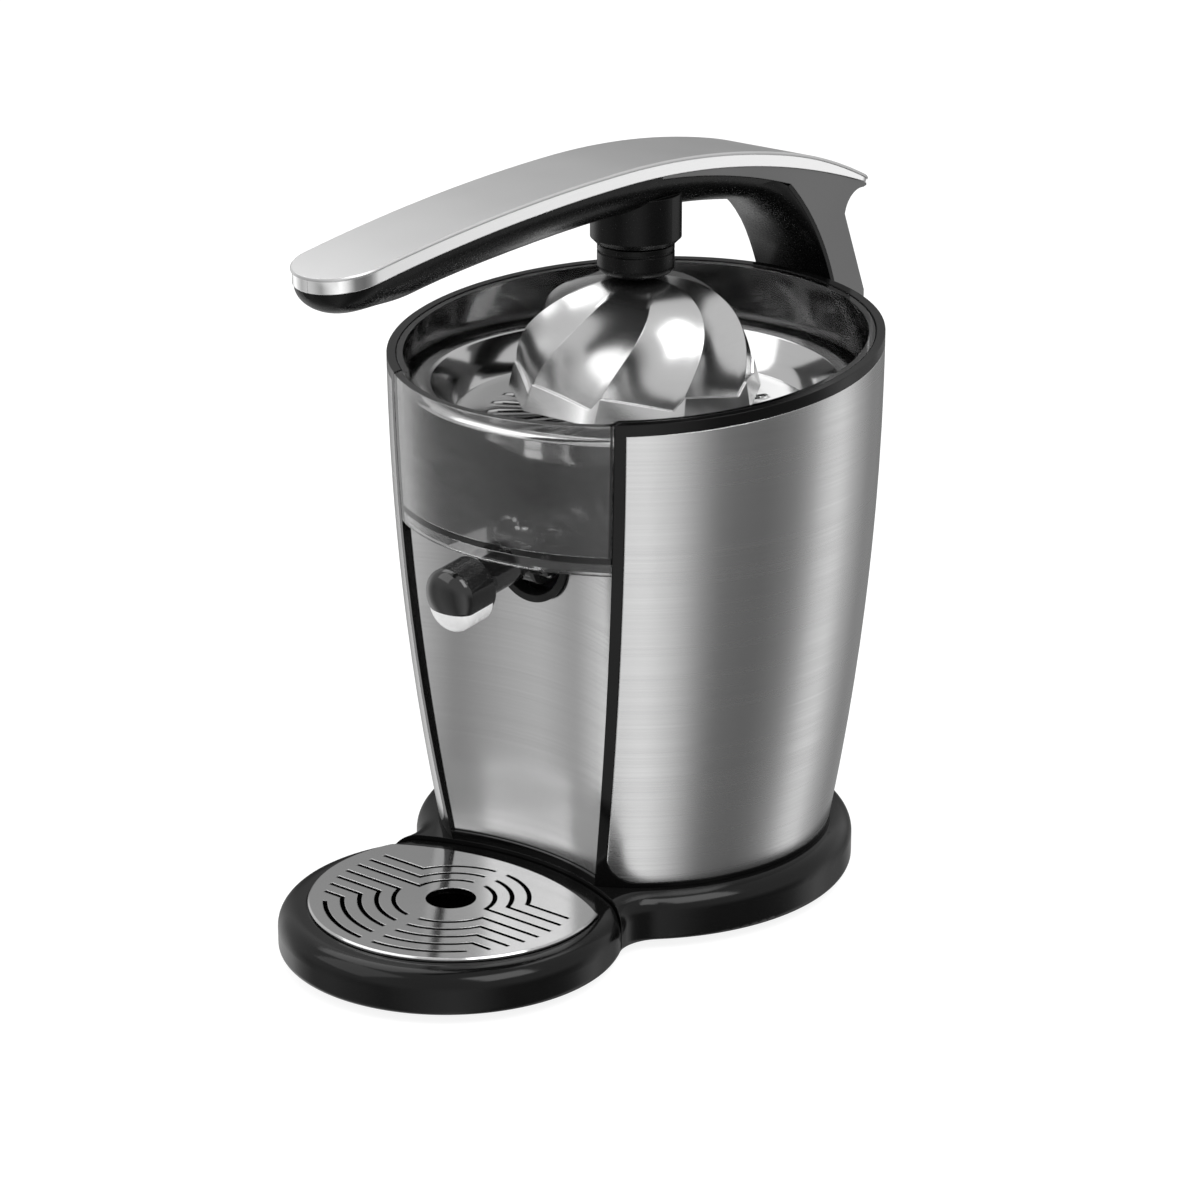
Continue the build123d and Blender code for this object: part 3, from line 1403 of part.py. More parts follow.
with BuildPart() as arm_shell:
    shell_depth = liner_thickness + fit_gap
    body_beak_y = arm_back_reach - arm_inset
    body_beak = (body_beak_y, arm_top(body_beak_y) - body_drop)
    neck = (hinge_reach - neck_inset, crown_height - neck_fall)
    beak_low = (arm_back_reach - beak_inset, crown_height - beak_under_fall)
    post_foot = (hinge_reach + post_outset, post_foot_height)
    shell_y = fit_gap - wedge_reach
    shell_start = (shell_y, arm_top(shell_y) - body_drop)
    shell_low = (shell_y, wedge_low[1] + fit_gap)
    shell_middle_y = (shell_y + body_beak_y) / 2
    shell_middle = (shell_middle_y, arm_top(shell_middle_y) - body_drop)
    shell_top = beside_post(post_start, shell_depth)
    shell_end = beside_post(post_end, shell_depth)
    with BuildSketch(side_plane):
        with BuildLine():
            ThreePointArc(shell_start, shell_middle, body_beak)
            Line(body_beak, beak_low)
            SagittaArc(beak_low, neck, -beak_sag)
            Line(neck, post_foot)
            Line(post_foot, shell_end)
            SagittaArc(shell_end, shell_top, -post_sag)
            SagittaArc(shell_top, shell_low, -wedge_sag)
            Line(shell_low, shell_start)
        make_face()
    extrude(amount=post_half_width, both=True)
    add(arm_plan(arm_inset, post_foot_height - overrun, crown_height), mode=Mode.INTERSECT)
    add(knuckle_room, mode=Mode.SUBTRACT)
    with BuildSketch(side_plane):
        with Locations((hinge_reach, hinge_height)):
            Circle(knuckle_radius)
        with BuildLine():
            Polyline(
                (hinge_reach - knuckle_radius, hinge_height),
                (shell_end[0] + weld, hinge_height + knuckle_radius + weld),
                (post_foot[0] - weld, hinge_height + knuckle_radius + weld),
                (hinge_reach + knuckle_radius, hinge_height),
                (hinge_reach - knuckle_radius, hinge_height),
            )
        make_face()
    extrude(amount=knuckle_half_width, both=True)
    add(
        cross_bar(hinge_pin_radius + running_gap, knuckle_half_width, hinge_reach, hinge_height),
        mode=Mode.SUBTRACT,
    )
arm_shell.part.label = "arm_shell"
export_step(arm_shell.part, "parts/arm_shell.step")

with BuildPart() as presser_pad:
    add(column(pad_radius, pad_bottom, pad_top))
    fillet(presser_pad.faces().sort_by(Axis.Z)[0].edges(), pad_round)
    groove_top = pad_groove_height + pad_groove_width
    add(
        tube(pad_radius + overrun, pad_radius - pad_groove, pad_groove_height, groove_top),
        mode=Mode.SUBTRACT,
    )
    add(column(pad_stem, pad_top, pad_stem_top))
presser_pad.part.label = "presser_pad"
export_step(presser_pad.part, "parts/presser_pad.step")


# Hinge

hinge_bush_radius = hinge_pin_radius + running_gap + hinge_bush_wall
ear_start = knuckle_half_width + ear_gap

with BuildPart() as hinge_pin:
    add(cross_bar(hinge_pin_radius, ear_half_width - fit_gap, hinge_reach, hinge_height))
hinge_pin.part.label = "hinge_pin"
export_step(hinge_pin.part, "parts/hinge_pin.step")

with BuildPart() as hinge_bracket:
    with BuildSketch(side_plane):
        with BuildLine():
            Polyline(
                (foot_radius, bracket_bottom),
                (bracket_back - bracket_slope / 2, bracket_bottom),
                (bracket_back, bracket_bottom + bracket_slope),
                (bracket_back, bracket_top),
                (foot_radius, bracket_top),
                (foot_radius, bracket_bottom),
            )
        make_face()
    extrude(amount=ear_half_width, both=True)
    for side in (-1, 1):
        ear_middle = side * (ear_start + ear_half_width) / 2
        ear_plane = Plane(origin=(ear_middle, axis_y, 0), x_dir=(0, 1, 0), z_dir=(1, 0, 0))
        with BuildSketch(ear_plane):
            with BuildLine():
                Polyline(
                    (bracket_back - weld, hinge_height - 2 * knuckle_radius),
                    (hinge_reach, hinge_height - knuckle_radius),
                    (hinge_reach, hinge_height),
                    (bracket_back - weld, hinge_height),
                    (bracket_back - weld, hinge_height - 2 * knuckle_radius),
                )
            make_face()
            with Locations((hinge_reach, hinge_height)):
                Circle(knuckle_radius)
                Circle(hinge_bush_radius + fit_gap, mode=Mode.SUBTRACT)
        extrude(amount=(ear_half_width - ear_start) / 2, both=True)
    add(barrel(-fit_gap, bracket_bottom - overrun, bracket_top + overrun), mode=Mode.SUBTRACT)
    add(
        back_bars(bracket_screw_places, screw_radius + fit_gap, foot_radius, rim_radius + overrun),
        mode=Mode.SUBTRACT,
    )
hinge_bracket.part.label = "hinge_bracket"
export_step(hinge_bracket.part, "parts/hinge_bracket.step")

with BuildPart() as hinge_bushes:
    for side in (-1, 1):
        ear_middle = side * (ear_start + ear_half_width) / 2
        ear_plane = Plane(origin=(ear_middle, axis_y, 0), x_dir=(0, 1, 0), z_dir=(1, 0, 0))
        with BuildSketch(ear_plane):
            with Locations((hinge_reach, hinge_height)):
                Circle(hinge_bush_radius)
                Circle(hinge_pin_radius + running_gap, mode=Mode.SUBTRACT)
        extrude(amount=(ear_half_width - ear_start) / 2, both=True)
hinge_bushes.part.label = "hinge_bushes"
export_step(hinge_bushes.part, "parts/hinge_bushes.step")

with BuildPart() as bracket_screws:
    add(back_bars(bracket_screw_places, screw_radius, bracket_back - bracket_screw_length, bracket_back))
    add(back_bars(bracket_screw_places, screw_head_radius, bracket_back, bracket_back + screw_head))
bracket_screws.part.label = "bracket_screws"
export_step(bracket_screws.part, "parts/bracket_screws.step")
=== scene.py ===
import json
import math

import bpy
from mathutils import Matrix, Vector

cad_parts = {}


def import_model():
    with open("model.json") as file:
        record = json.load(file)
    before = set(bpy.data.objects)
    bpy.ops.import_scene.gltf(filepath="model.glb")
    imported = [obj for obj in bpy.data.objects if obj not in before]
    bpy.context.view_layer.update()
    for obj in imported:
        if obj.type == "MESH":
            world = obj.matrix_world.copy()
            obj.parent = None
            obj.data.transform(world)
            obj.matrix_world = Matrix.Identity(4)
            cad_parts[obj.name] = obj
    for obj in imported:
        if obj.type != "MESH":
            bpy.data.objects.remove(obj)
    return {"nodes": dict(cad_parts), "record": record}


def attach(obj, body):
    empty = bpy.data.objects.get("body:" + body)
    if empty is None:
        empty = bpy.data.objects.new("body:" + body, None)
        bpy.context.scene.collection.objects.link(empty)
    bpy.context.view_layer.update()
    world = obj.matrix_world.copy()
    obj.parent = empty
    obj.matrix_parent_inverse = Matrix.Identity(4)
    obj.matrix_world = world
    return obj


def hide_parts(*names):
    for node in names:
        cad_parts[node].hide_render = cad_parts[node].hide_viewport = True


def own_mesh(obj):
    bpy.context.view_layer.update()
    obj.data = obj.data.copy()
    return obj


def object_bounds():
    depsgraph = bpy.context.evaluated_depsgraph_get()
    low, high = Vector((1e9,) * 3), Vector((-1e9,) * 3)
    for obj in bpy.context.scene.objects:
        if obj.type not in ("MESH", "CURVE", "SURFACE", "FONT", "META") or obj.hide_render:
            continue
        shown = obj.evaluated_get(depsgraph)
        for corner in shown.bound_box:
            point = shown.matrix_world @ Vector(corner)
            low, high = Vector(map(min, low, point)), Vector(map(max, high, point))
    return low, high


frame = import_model()
cad_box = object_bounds()

# The photograph's camera, in metres. The drum's axis stands at axis_y in the frame.
axis_y = 0.0236
camera_eye = Vector((0.77705, axis_y - 0.97511, 0.54926))
camera_target = Vector((0.0, axis_y - 0.018663, 0.100731))
camera_lens = 117.38
camera_sensor = 36.0

# The floor, in metres, its shade, and the share of its painted side in what the camera sees.
floor_radius = 6.0
floor_sides = 96
floor_drop = 0.0002
floor_shade = 0.86
floor_shadow_share = 0.34
floor_glow = 1.32

# Soft lamps round the object: azimuth and elevation in degrees, power in watts, side in metres.
lamp_distance = 1.6
lamps = {
    "key_lamp": (-8.0, 52.0, 11.0, 0.9),
    "fill_lamp": (-128.0, 40.0, 6.0, 1.2),
    "back_lamp": (165.0, 58.0, 6.0, 1.0),
}
ambient_strength = 0.55

# What metal and clear plastic see round the object below eye level, as azimuth in degrees and
# brightness. A plain sky takes over between two heights of the direction.
studio_flats = (
    (-180, 1.15), (-168, 0.75), (-153, 0.42), (-133, 0.62), (-116, 0.52), (-94, 0.30),
    (-78, 0.62), (-60, 0.95), (-47, 1.10), (-33, 0.80), (-19, 0.36), (-11, 0.18),
    (12, 0.14), (29, 0.22), (40, 0.42), (49, 0.85), (60, 1.00), (73, 0.52),
    (90, 0.26), (108, 0.30), (128, 0.80), (150, 0.60), (170, 1.00),
)
sky_brightness = 0.80
sky_blend = (-0.10, 0.22)

# A dark backdrop far behind the object on the left: its direction in degrees, and how many
# degrees away from that it is still full and where it ends.
backdrop_heading = (129.0, 0.0)
backdrop_full = 14.0
backdrop_end = 33.0
backdrop_brightness = 0.10

# Edges: how far the light softens them, in metres, and the angle in degrees that makes one sharp.
edge_round = 0.0004
edge_samples = 4
sharp_angle = 28.0

# The part of a noise's range that finishes use.
noise_span = (0.3, 0.7)

# Brushed steel: broad lines against the fine ones, along and across, and how both show.
brushed_broad = (0.4, 0.12)
brushed_span = (0.38, 0.62)
brushed_rough = (1.15, 0.85)
brushed_depth = 0.000004
brushed_relief = 0.35

# Polished metal: rub marks for each metre, their shares of tone and roughness, and the ripple.
rub_scale = (90.0, 90.0, 1400.0)
rub_tones = (0.99, 1.01)
rub_rough = (0.99, 1.01)
ripple_depth = 0.00001
ripple_relief = 0.25

# Moulded plastic: clouds for each metre, shares of roughness, and the strength of its grain.
mould_cloud = 28.0
mould_rough = (0.85, 1.15)
mould_relief = 0.4

# Satin metal: clouds for each metre, shares of tone and roughness, and its beads, whose depth is
# a share of their pitch.
satin_cloud = 16.0
satin_tones = (0.94, 1.05)
satin_rough = (0.95, 1.06)
satin_depth = 0.005
satin_relief = 0.2

# Clear plastic: flow lines for each metre, their shares of tone and roughness, and their depth.
flow_scale = (60.0, 60.0, 160.0)
flow_tones = (0.93, 1.05)
flow_rough = (0.6, 1.4)
flow_depth = 0.00006
flow_relief = 0.12

# Turned metal: the unevenness of its rings for each metre, and how they show.
ring_scale = 60.0
ring_tones = (0.85, 1.1)
ring_rough = (0.8, 1.2)
ring_depth = 0.04
ring_relief = 0.4

# The motor's stack of iron sheets.
stack_metal = 0.8
stack_wave = 0.5
stack_tones = (0.5, 1.2)
stack_rough = (0.6, 0.45)
stack_depth = 0.2
stack_relief = 0.5

# The juicing cone, in millimetres from the drum's axis and the floor. Angles are in degrees, and
# cone_inside is its hollow underside as height and radius.
cone_ridges = 9
cone_steps = 12
cone_phase = -70.0
cone_twist = 35.8
cone_twist_power = 1.29
cone_foot = (169.4, 42.9)
cone_band_top = 178.3
cone_band_slant = 4.6
cone_band_radius = 40.6
cone_shoulder = 174.4
cone_radius = 40.0
cone_top = 209.6
cone_top_share = 0.998
cone_power = 2.4
cone_levels = 30
cone_hollow_low = 0.018
cone_hollow_more = 0.032
cone_inside = (
    (169.4, 34.3), (180.0, 31.0), (188.0, 24.0), (194.0, 14.0),
    (196.0, 8.6), (169.4, 8.6), (169.4, 5.05), (186.3, 5.05),
)

# The strainer's sheet from its outer edge to its collar, as radius and height in millimetres.
strainer_sheet = 0.8
strainer_line = (
    (76.2, 174.6), (69.2, 174.6), (68.0, 174.0), (66.0, 171.0), (64.1, 167.0),
    (62.7, 164.0), (61.0, 162.2), (58.8, 161.5), (50.0, 161.5), (46.0, 161.5),
    (22.0, 161.5), (15.2, 161.5), (14.7, 162.0), (14.7, 164.2),
)
strainer_slot_row = 9
strainer_steps = 120
strainer_slot_every = 4

# The spout's lip, in millimetres along the spout from its pivot: a half-round form let down below
# the spout's head, straight over the first share of its length, with an outlet through it.
lip_origin = (-57.0, 127.4)
lip_slope = 6.5
lip_from = 27.5
lip_tip = 42.0
lip_straight = 0.4
lip_radius = 8.8
lip_nose = 4.9
lip_least = 0.02
lip_drop = 3.3
lip_steps = 24
outlet_along = 34.5
outlet_radius = 5.6

# The arm's top plate and bright band, in millimetres along the arm from the drum's axis.
arm_front = -157.2
arm_back = 110.0
arm_tip_half = 15.1
arm_beak_half = 17.9
arm_beak_corner = 6.0
arm_crown = (-25.6, 251.7)
arm_tip_fall = 9.8
arm_beak_fall = 25.0
arm_droop_start = 62.0
arm_droop = 3.2
arm_steps = 90
arm_least_half = 0.05
arm_least_top = 0.02
cover_depth = 1.0
cover_bevel = 0.45
trim_inset = 0.5
trim_gap = 0.1
trim_bevel = 0.02
band_depth = 5.1

# Where the arm's belly sinks into its post, in millimetres: the liner's edge as y and z, how far
# the middle bulges there, and half the width.
saddle_line = (
    (42.0, 236.0, 6.6, 13.9), (48.0, 234.6, 7.6, 14.5), (55.0, 232.7, 8.2, 15.3),
    (62.0, 229.2, 8.2, 15.9), (66.5, 225.0, 7.0, 15.9), (70.8, 220.2, 5.4, 15.9),
    (74.6, 215.5, 3.9, 15.9), (78.2, 210.5, 2.6, 15.9), (81.0, 206.0, 1.6, 15.9),
    (84.1, 200.5, 0.8, 15.9), (86.8, 194.4, 0.3, 15.9), (89.1, 188.2, -0.2, 15.9),
)
saddle_steps = 24
saddle_back = 0.6


def node(tree, kind, inputs=None, **settings):
    """Add a shader node; an input that is a socket is linked, and any other is set."""
    made = tree.nodes.new("ShaderNode" + kind)
    for key, value in settings.items():
        setattr(made, key, value)
    for key, value in (inputs or {}).items():
        if isinstance(value, bpy.types.NodeSocket):
            tree.links.new(value, made.inputs[key])
        else:
            made.inputs[key].default_value = value
    return made


def surface(name, **settings):
    """A material with one principled shader, whose plain values are set on its own sockets."""
    material = bpy.data.materials.new(name)
    material.use_nodes = True
    tree = material.node_tree
    shader = tree.nodes["Principled BSDF"]
    for key, value in settings.items():
        shader.inputs[key.replace("_", " ")].default_value = value
    return material, tree, shader


def grey(level, warmth=0.0):
    return (level * (1 + warmth), level, level * (1 - warmth), 1.0)


def spread(tree, scale):
    """Places on the piece itself, in metres, stretched by a scale for each axis."""
    places = node(tree, "TexCoord").outputs["Object"]
    return node(tree, "Mapping", {"Vector": places, "Scale": scale}).outputs["Vector"]


def noise(tree, scale, detail=2.0):
    settings = {"Vector": spread(tree, scale), "Scale": 1.0, "Detail": detail}
    return node(tree, "TexNoise", settings).outputs["Fac"]


def between(tree, fac, low, high, span=noise_span):
    """A value that runs from low to high while fac runs over its span."""
    settings = {"Value": fac, "From Min": span[0], "From Max": span[1], "To Min": low, "To Max": high}
    return node(tree, "MapRange", settings).outputs["Result"]


def uneven(tree, fac, rough, shares):
    return between(tree, fac, rough * shares[0], rough * shares[1])


def shades(tree, fac, level, shares, warmth=0.0, span=noise_span):
    """A grey that runs between two shares of its level while fac runs over its span."""
    ramp = node(tree, "ValToRGB", {"Fac": fac})
    for place in range(2):
        stop = ramp.color_ramp.elements[place]
        stop.position = span[place]
        stop.color = grey(level * shares[place], warmth)
    return ramp.outputs["Color"]


def relief(tree, fac, depth, strength):
    """Fine relief on a surface whose sharp edges are softened."""
    soft = node(tree, "Bevel", {"Radius": edge_round}, samples=edge_samples).outputs["Normal"]
    settings = {"Height": fac, "Distance": depth, "Strength": strength, "Normal": soft}
    return node(tree, "Bump", settings).outputs["Normal"]


def lay(tree, shader, color, rough, normal):
    """Link the textures of a material to its shader."""
    for key, socket in (("Base Color", color), ("Roughness", rough), ("Normal", normal)):
        tree.links.new(socket, shader.inputs[key])


def brushed(name, level, rough, anisotropy, line_pitch, line_length, contrast):
    """Steel brushed level all round, so that lights draw out into upright bands."""
    material, tree, shader = surface(
        name, Metallic=1.0, Anisotropic=anisotropy, Anisotropic_Rotation=0.25)
    along, across = brushed_broad
    fine = noise(tree, (1 / line_length, 1 / line_length, 1 / line_pitch), detail=3.0)
    broad = noise(tree, (along / line_length, along / line_length, across / line_pitch))
    both = node(tree, "Math", {0: fine, 1: broad}, operation="ADD").outputs[0]
    half = node(tree, "Math", {0: both, 1: 0.5}, operation="MULTIPLY").outputs[0]
    tangent = node(tree, "Tangent", direction_type="RADIAL", axis="Z").outputs["Tangent"]
    tree.links.new(tangent, shader.inputs["Tangent"])
    color = shades(tree, half, level, (1 - contrast, 1 + contrast), span=brushed_span)
    lines = relief(tree, fine, brushed_depth, brushed_relief)
    lay(tree, shader, color, uneven(tree, half, rough, brushed_rough), lines)
    return material


def polished(name, level, rough, pitch):
    """Bright metal with the faint ripple and rub marks that polishing leaves."""
    material, tree, shader = surface(name, Metallic=1.0)
    ripple = noise(tree, (1 / pitch,) * 3)
    rub = noise(tree, rub_scale, detail=3.0)
    color = shades(tree, rub, level, rub_tones)
    waves = relief(tree, ripple, ripple_depth, ripple_relief)
    lay(tree, shader, color, uneven(tree, rub, rough, rub_rough), waves)
    return material


def moulded(name, level, rough, pitch, depth, shine=0.5, warmth=0.0, contrast=0.25):
    """Injection moulded plastic: a little uneven in tone, with the mould's own grain."""
    material, tree, shader = surface(name, Specular_IOR_Level=shine)
    grain = noise(tree, (1 / pitch,) * 3, detail=4.0)
    cloud = noise(tree, (mould_cloud,) * 3)
    color = shades(tree, cloud, level, (1 - contrast, 1 + contrast), warmth)
    skin = relief(tree, grain, depth, mould_relief)
    lay(tree, shader, color, uneven(tree, grain, rough, mould_rough), skin)
    return material


def satin_metal(name, level, rough, pitch):
    """Bead blasted and clear coated metal with a fine even sparkle."""
    material, tree, shader = surface(name, Metallic=1.0)
    beads = noise(tree, (1 / pitch,) * 3, detail=3.0)
    cloud = noise(tree, (satin_cloud,) * 3)
    color = shades(tree, cloud, level, satin_tones)
    skin = relief(tree, beads, pitch * satin_depth, satin_relief)
    lay(tree, shader, color, uneven(tree, beads, rough, satin_rough), skin)
    return material


def clear(name, level, rough, index):
    """Smoky clear plastic, with faint flow lines from its mould."""
    material, tree, shader = surface(name, Transmission_Weight=1.0, IOR=index)
    flow = noise(tree, flow_scale, detail=3.0)
    color = shades(tree, flow, level, flow_tones)
    lines = relief(tree, flow, flow_depth, flow_relief)
    lay(tree, shader, color, uneven(tree, flow, rough, flow_rough), lines)
    return material


def turned(name, level, rough, pitch, warmth=0.0):
    """Machined metal with the fine rings that a lathe leaves."""
    material, tree, shader = surface(name, Metallic=1.0)
    rings = noise(tree, (ring_scale, ring_scale, 1 / pitch))
    color = shades(tree, rings, level, ring_tones, warmth)
    grooves = relief(tree, rings, pitch * ring_depth, ring_relief)
    lay(tree, shader, color, uneven(tree, rings, rough, ring_rough), grooves)
    return material


def laminated(name, level, pitch):
    """A stack of thin iron sheets seen from the edge."""
    material, tree, shader = surface(name, Metallic=stack_metal)
    settings = {"Vector": spread(tree, (0, 0, 1 / pitch)), "Scale": stack_wave}
    sheets = node(tree, "TexWave", settings, bands_direction="Z").outputs["Fac"]
    color = shades(tree, sheets, level, stack_tones)
    grooves = relief(tree, sheets, pitch * stack_depth, stack_relief)
    lay(tree, shader, color, between(tree, sheets, *stack_rough), grooves)
    return material


def dress():
    """Give every node of the frame the finish that its slot calls for."""
    recipes = {
        "gloss_black": (moulded, dict(
            level=0.004, rough=0.13, pitch=0.0016, depth=0.0000015, shine=0.22)),
        "matte_black": (moulded, dict(
            level=0.004, rough=0.28, pitch=0.0008, depth=0.0000015, shine=0.16)),
        "rubber": (moulded, dict(level=0.012, rough=0.62, pitch=0.0005, depth=0.00003, shine=0.3)),
        "brushed_steel": (brushed, dict(
            level=0.64, rough=0.26, anisotropy=0.55, line_pitch=0.0009, line_length=0.30,
            contrast=0.035)),
        "polished_steel": (polished, dict(level=0.53, rough=0.11, pitch=0.02)),
        "polished_alloy": (polished, dict(level=0.58, rough=0.23, pitch=0.012)),
        "smoky_clear": (clear, dict(level=0.88, rough=0.08, index=1.52)),
        "smoky_dark": (moulded, dict(
            level=0.010, rough=0.07, pitch=0.004, depth=0.000002, shine=0.6)),
        "bright_lip": (moulded, dict(
            level=0.90, rough=0.25, pitch=0.002, depth=0.000006, contrast=0.02)),
        "bright_trim": (polished, dict(level=0.95, rough=0.12, pitch=0.03)),
        "satin_silver": (satin_metal, dict(level=0.64, rough=0.40, pitch=0.0004)),
        "satin_grey": (satin_metal, dict(level=0.20, rough=0.38, pitch=0.0004)),
        "machined_steel": (turned, dict(level=0.55, rough=0.25, pitch=0.0003)),
        "zinc_screws": (turned, dict(level=0.60, rough=0.32, pitch=0.0004, warmth=0.02)),
        "gear_nylon": (moulded, dict(
            level=0.72, rough=0.42, pitch=0.0008, depth=0.00001, warmth=0.03, contrast=0.05)),
        "grey_nylon": (moulded, dict(
            level=0.24, rough=0.45, pitch=0.0007, depth=0.00001, warmth=-0.02, contrast=0.1)),
        "bronze": (turned, dict(level=0.42, rough=0.38, pitch=0.0003, warmth=0.36)),
        "motor_steel": (satin_metal, dict(level=0.40, rough=0.38, pitch=0.0006)),
        "lamination": (laminated, dict(level=0.22, pitch=0.0005)),
    }
    finishes = {name: make(name, **values) for name, (make, values) in recipes.items()}
    panel = brushed("panel_steel", level=0.66, rough=0.20, anisotropy=0.45, line_pitch=0.0007,
                    line_length=0.12, contrast=0.03)
    own = {"front_panel": panel}
    for part in frame["record"]["subparts"]:
        name = part["node"]
        finish = own.get(name, finishes[part["material_slot"]])
        frame["nodes"][name].material_slots[0].material = finish
    frame["nodes"]["collector"].visible_shadow = False
    return finishes


def metres(points):
    """Places in the frame, from points in millimetres round the drum's axis."""
    return [(x / 1000, y / 1000 + axis_y, z / 1000) for x, y, z in points]


def piece(name, points, faces, body, slot_name, finishes, stands_for=()):
    """A smooth piece with sharp ridges, from points in millimetres round the drum's axis."""
    mesh = bpy.data.meshes.new(name)
    mesh.from_pydata(metres(points), [], faces)
    mesh.validate()
    mesh.shade_smooth()
    mesh.set_sharp_from_angle(angle=math.radians(sharp_angle))
    mesh.materials.append(finishes[slot_name])
    made = bpy.data.objects.new(name, mesh)
    bpy.context.scene.collection.objects.link(made)
    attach(made, body)
    if stands_for:
        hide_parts(*stands_for)
    return made


def woven(rows):
    """Points and faces of a net of closed rows that have the same number of points."""
    points = [point for row in rows for point in row]
    count = len(rows[0])
    faces = []
    for row in range(len(rows) - 1):
        for step in range(count):
            near, far = row * count + step, row * count + (step + 1) % count
            faces.append((near, far, far + count, near + count))
    return points, faces


def capped(rows, flipped=False):
    """The same net with a face over each end; flipped turns both ends the other way."""
    points, faces = woven(rows)
    count = len(rows[0])
    first = tuple(range(count - 1, -1, -1))
    last = tuple(range(len(points) - count, len(points)))
    faces += [first[::-1], last[::-1]] if flipped else [first, last]
    return points, faces


def ring(height, radius, steps):
    turn = 2 * math.pi / steps
    return [(radius * math.cos(i * turn), radius * math.sin(i * turn), height)
            for i in range(steps)]


def cone_reach(height):
    share = min(max(0.0, (height - cone_shoulder) / (cone_top - cone_shoulder)), 1.0)
    return cone_radius * (1 - share ** cone_power) ** (1 / cone_power)


def fluted(rise, hollow, radius=None):
    """One level of the cone, a share of the way up from its band: sharp ridges with hollowed
    sides between them. A rise below zero is the foot."""
    half = math.pi / cone_ridges
    level = []
    for i in range(cone_ridges * cone_steps):
        place = i % cone_steps / cone_steps
        low = cone_band_top - cone_band_slant * place
        height = low + (cone_top - low) * rise if rise >= 0 else cone_foot[0]
        share = max(0.0, (height - cone_shoulder) / (cone_top - cone_shoulder))
        edge = radius or cone_reach(height)
        chord = edge * math.cos(half) / math.cos((2 * place - 1) * half)
        reach = chord * (1 - hollow * 4 * place * (1 - place))
        lean = math.radians(cone_phase + cone_twist * share ** cone_twist_power)
        angle = lean + 2 * half * i / cone_steps
        level.append((reach * math.cos(angle), reach * math.sin(angle), height))
    return level


def juicing_cone(finishes):
    """The cone that the fruit is pressed on: ridges that lean over as they rise from a band."""
    rows = [ring(height, radius, cone_ridges * cone_steps) for height, radius in cone_inside[::-1]]
    rows += [fluted(-1, 0.0, cone_foot[1]), fluted(0, 0.0, cone_band_radius)]
    for i in range(cone_levels + 1):
        rise = cone_top_share * math.sin(math.pi / 2 * i / cone_levels)
        rows.append(fluted(rise, cone_hollow_low + cone_hollow_more * math.sin(math.pi * rise)))
    points, faces = capped(rows)
    piece("cone_skin", points, faces, "cone", "polished_alloy", finishes, ["juicing_cone"])


def strainer(finishes):
    """The bowl round the cone, a steep sided sheet with a slotted floor."""
    rows = [ring(height, radius, strainer_steps) for radius, height in strainer_line]
    points, faces = woven(rows[::-1])
    row = len(strainer_line) - 2 - strainer_slot_row
    faces = [face for i, face in enumerate(faces)
             if i // strainer_steps != row or i % strainer_slot_every]
    bowl = piece("strainer_bowl", points, faces, "housing", "polished_steel", finishes,
                 ["strainer"])
    sheet = bowl.modifiers.new("sheet", "SOLIDIFY")
    sheet.thickness = strainer_sheet / 1000
    sheet.offset = 0.0


def drill(made, points, faces):
    """Cut a form, in millimetres round the drum's axis, out of a piece."""
    mesh = bpy.data.meshes.new("drill")
    mesh.from_pydata(metres(points), [], faces)
    tool = bpy.data.objects.new("drill", mesh)
    bpy.context.scene.collection.objects.link(tool)
    cut = made.modifiers.new("cut", "BOOLEAN")
    cut.operation = "DIFFERENCE"
    cut.solver = "EXACT"
    cut.object = tool
    shown = made.evaluated_get(bpy.context.evaluated_depsgraph_get())
    result = bpy.data.meshes.new_from_object(shown)
    made.modifiers.clear()
    made.data = result
    bpy.data.objects.remove(tool)


def spring_coil(finishes):
    """The return spring, a fixed copy of its solid on the housing; the real spring shortens as the
    cone is pressed down.
    """
    mesh = frame["nodes"]["return_spring"].data.copy()
    mesh.materials.clear()
    mesh.materials.append(finishes["machined_steel"])
    coil = bpy.data.objects.new("spring_coil", mesh)
    bpy.context.scene.collection.objects.link(coil)
    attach(coil, "housing")
    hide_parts("return_spring")
    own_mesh(coil)


def on_spout(side, run, fall):
    """A point beside the spout's middle, a run along it from its pivot and a fall below it."""
    slope = math.radians(lip_slope)
    y = lip_origin[0] - math.cos(slope) * run + math.sin(slope) * fall
    z = lip_origin[1] - math.sin(slope) * run - math.cos(slope) * fall
    return (side, y, z)


def spout_lip(finishes):
    """The bright lip that hangs under the spout's round nose, with its outlet."""
    turns = [math.pi * (i / lip_steps - 0.5) for i in range(lip_steps + 1)]
    length = lip_tip - lip_nose - lip_from
    rows = []
    for i in range(lip_steps + 1):
        share = i / lip_steps
        bend = math.pi / 2 * max(0.0, (share - lip_straight) / (1 - lip_straight))
        run = lip_from + length * min(share / lip_straight, 1.0) + lip_nose * math.sin(bend)
        reach = lip_radius * max(math.cos(bend), lip_least)
        rows.append([on_spout(reach * math.sin(turn), run, lip_drop + reach * math.cos(turn))
                     for turn in turns])
    points, faces = capped(rows)
    lip = piece("spout_lip_skin", points, faces, "spout", "bright_lip", finishes, ["spout_lip"])
    bore = [[on_spout(outlet_radius * math.sin(2 * turn),
                      outlet_along + outlet_radius * math.cos(2 * turn), fall)
             for turn in turns[:-1]] for fall in (lip_drop, lip_drop + 2 * lip_radius)]
    drill(lip, *capped(bore))


def arm_top(y):
    """Height of the arm's upper face before it droops."""
    reach, height = arm_crown
    if y < reach:
        run, fall = reach - arm_front, arm_tip_fall
    else:
        run, fall = arm_back - reach, arm_beak_fall
    bow = (run ** 2 + fall ** 2) / (2 * fall)
    return height - bow + math.sqrt(bow ** 2 - (y - reach) ** 2)


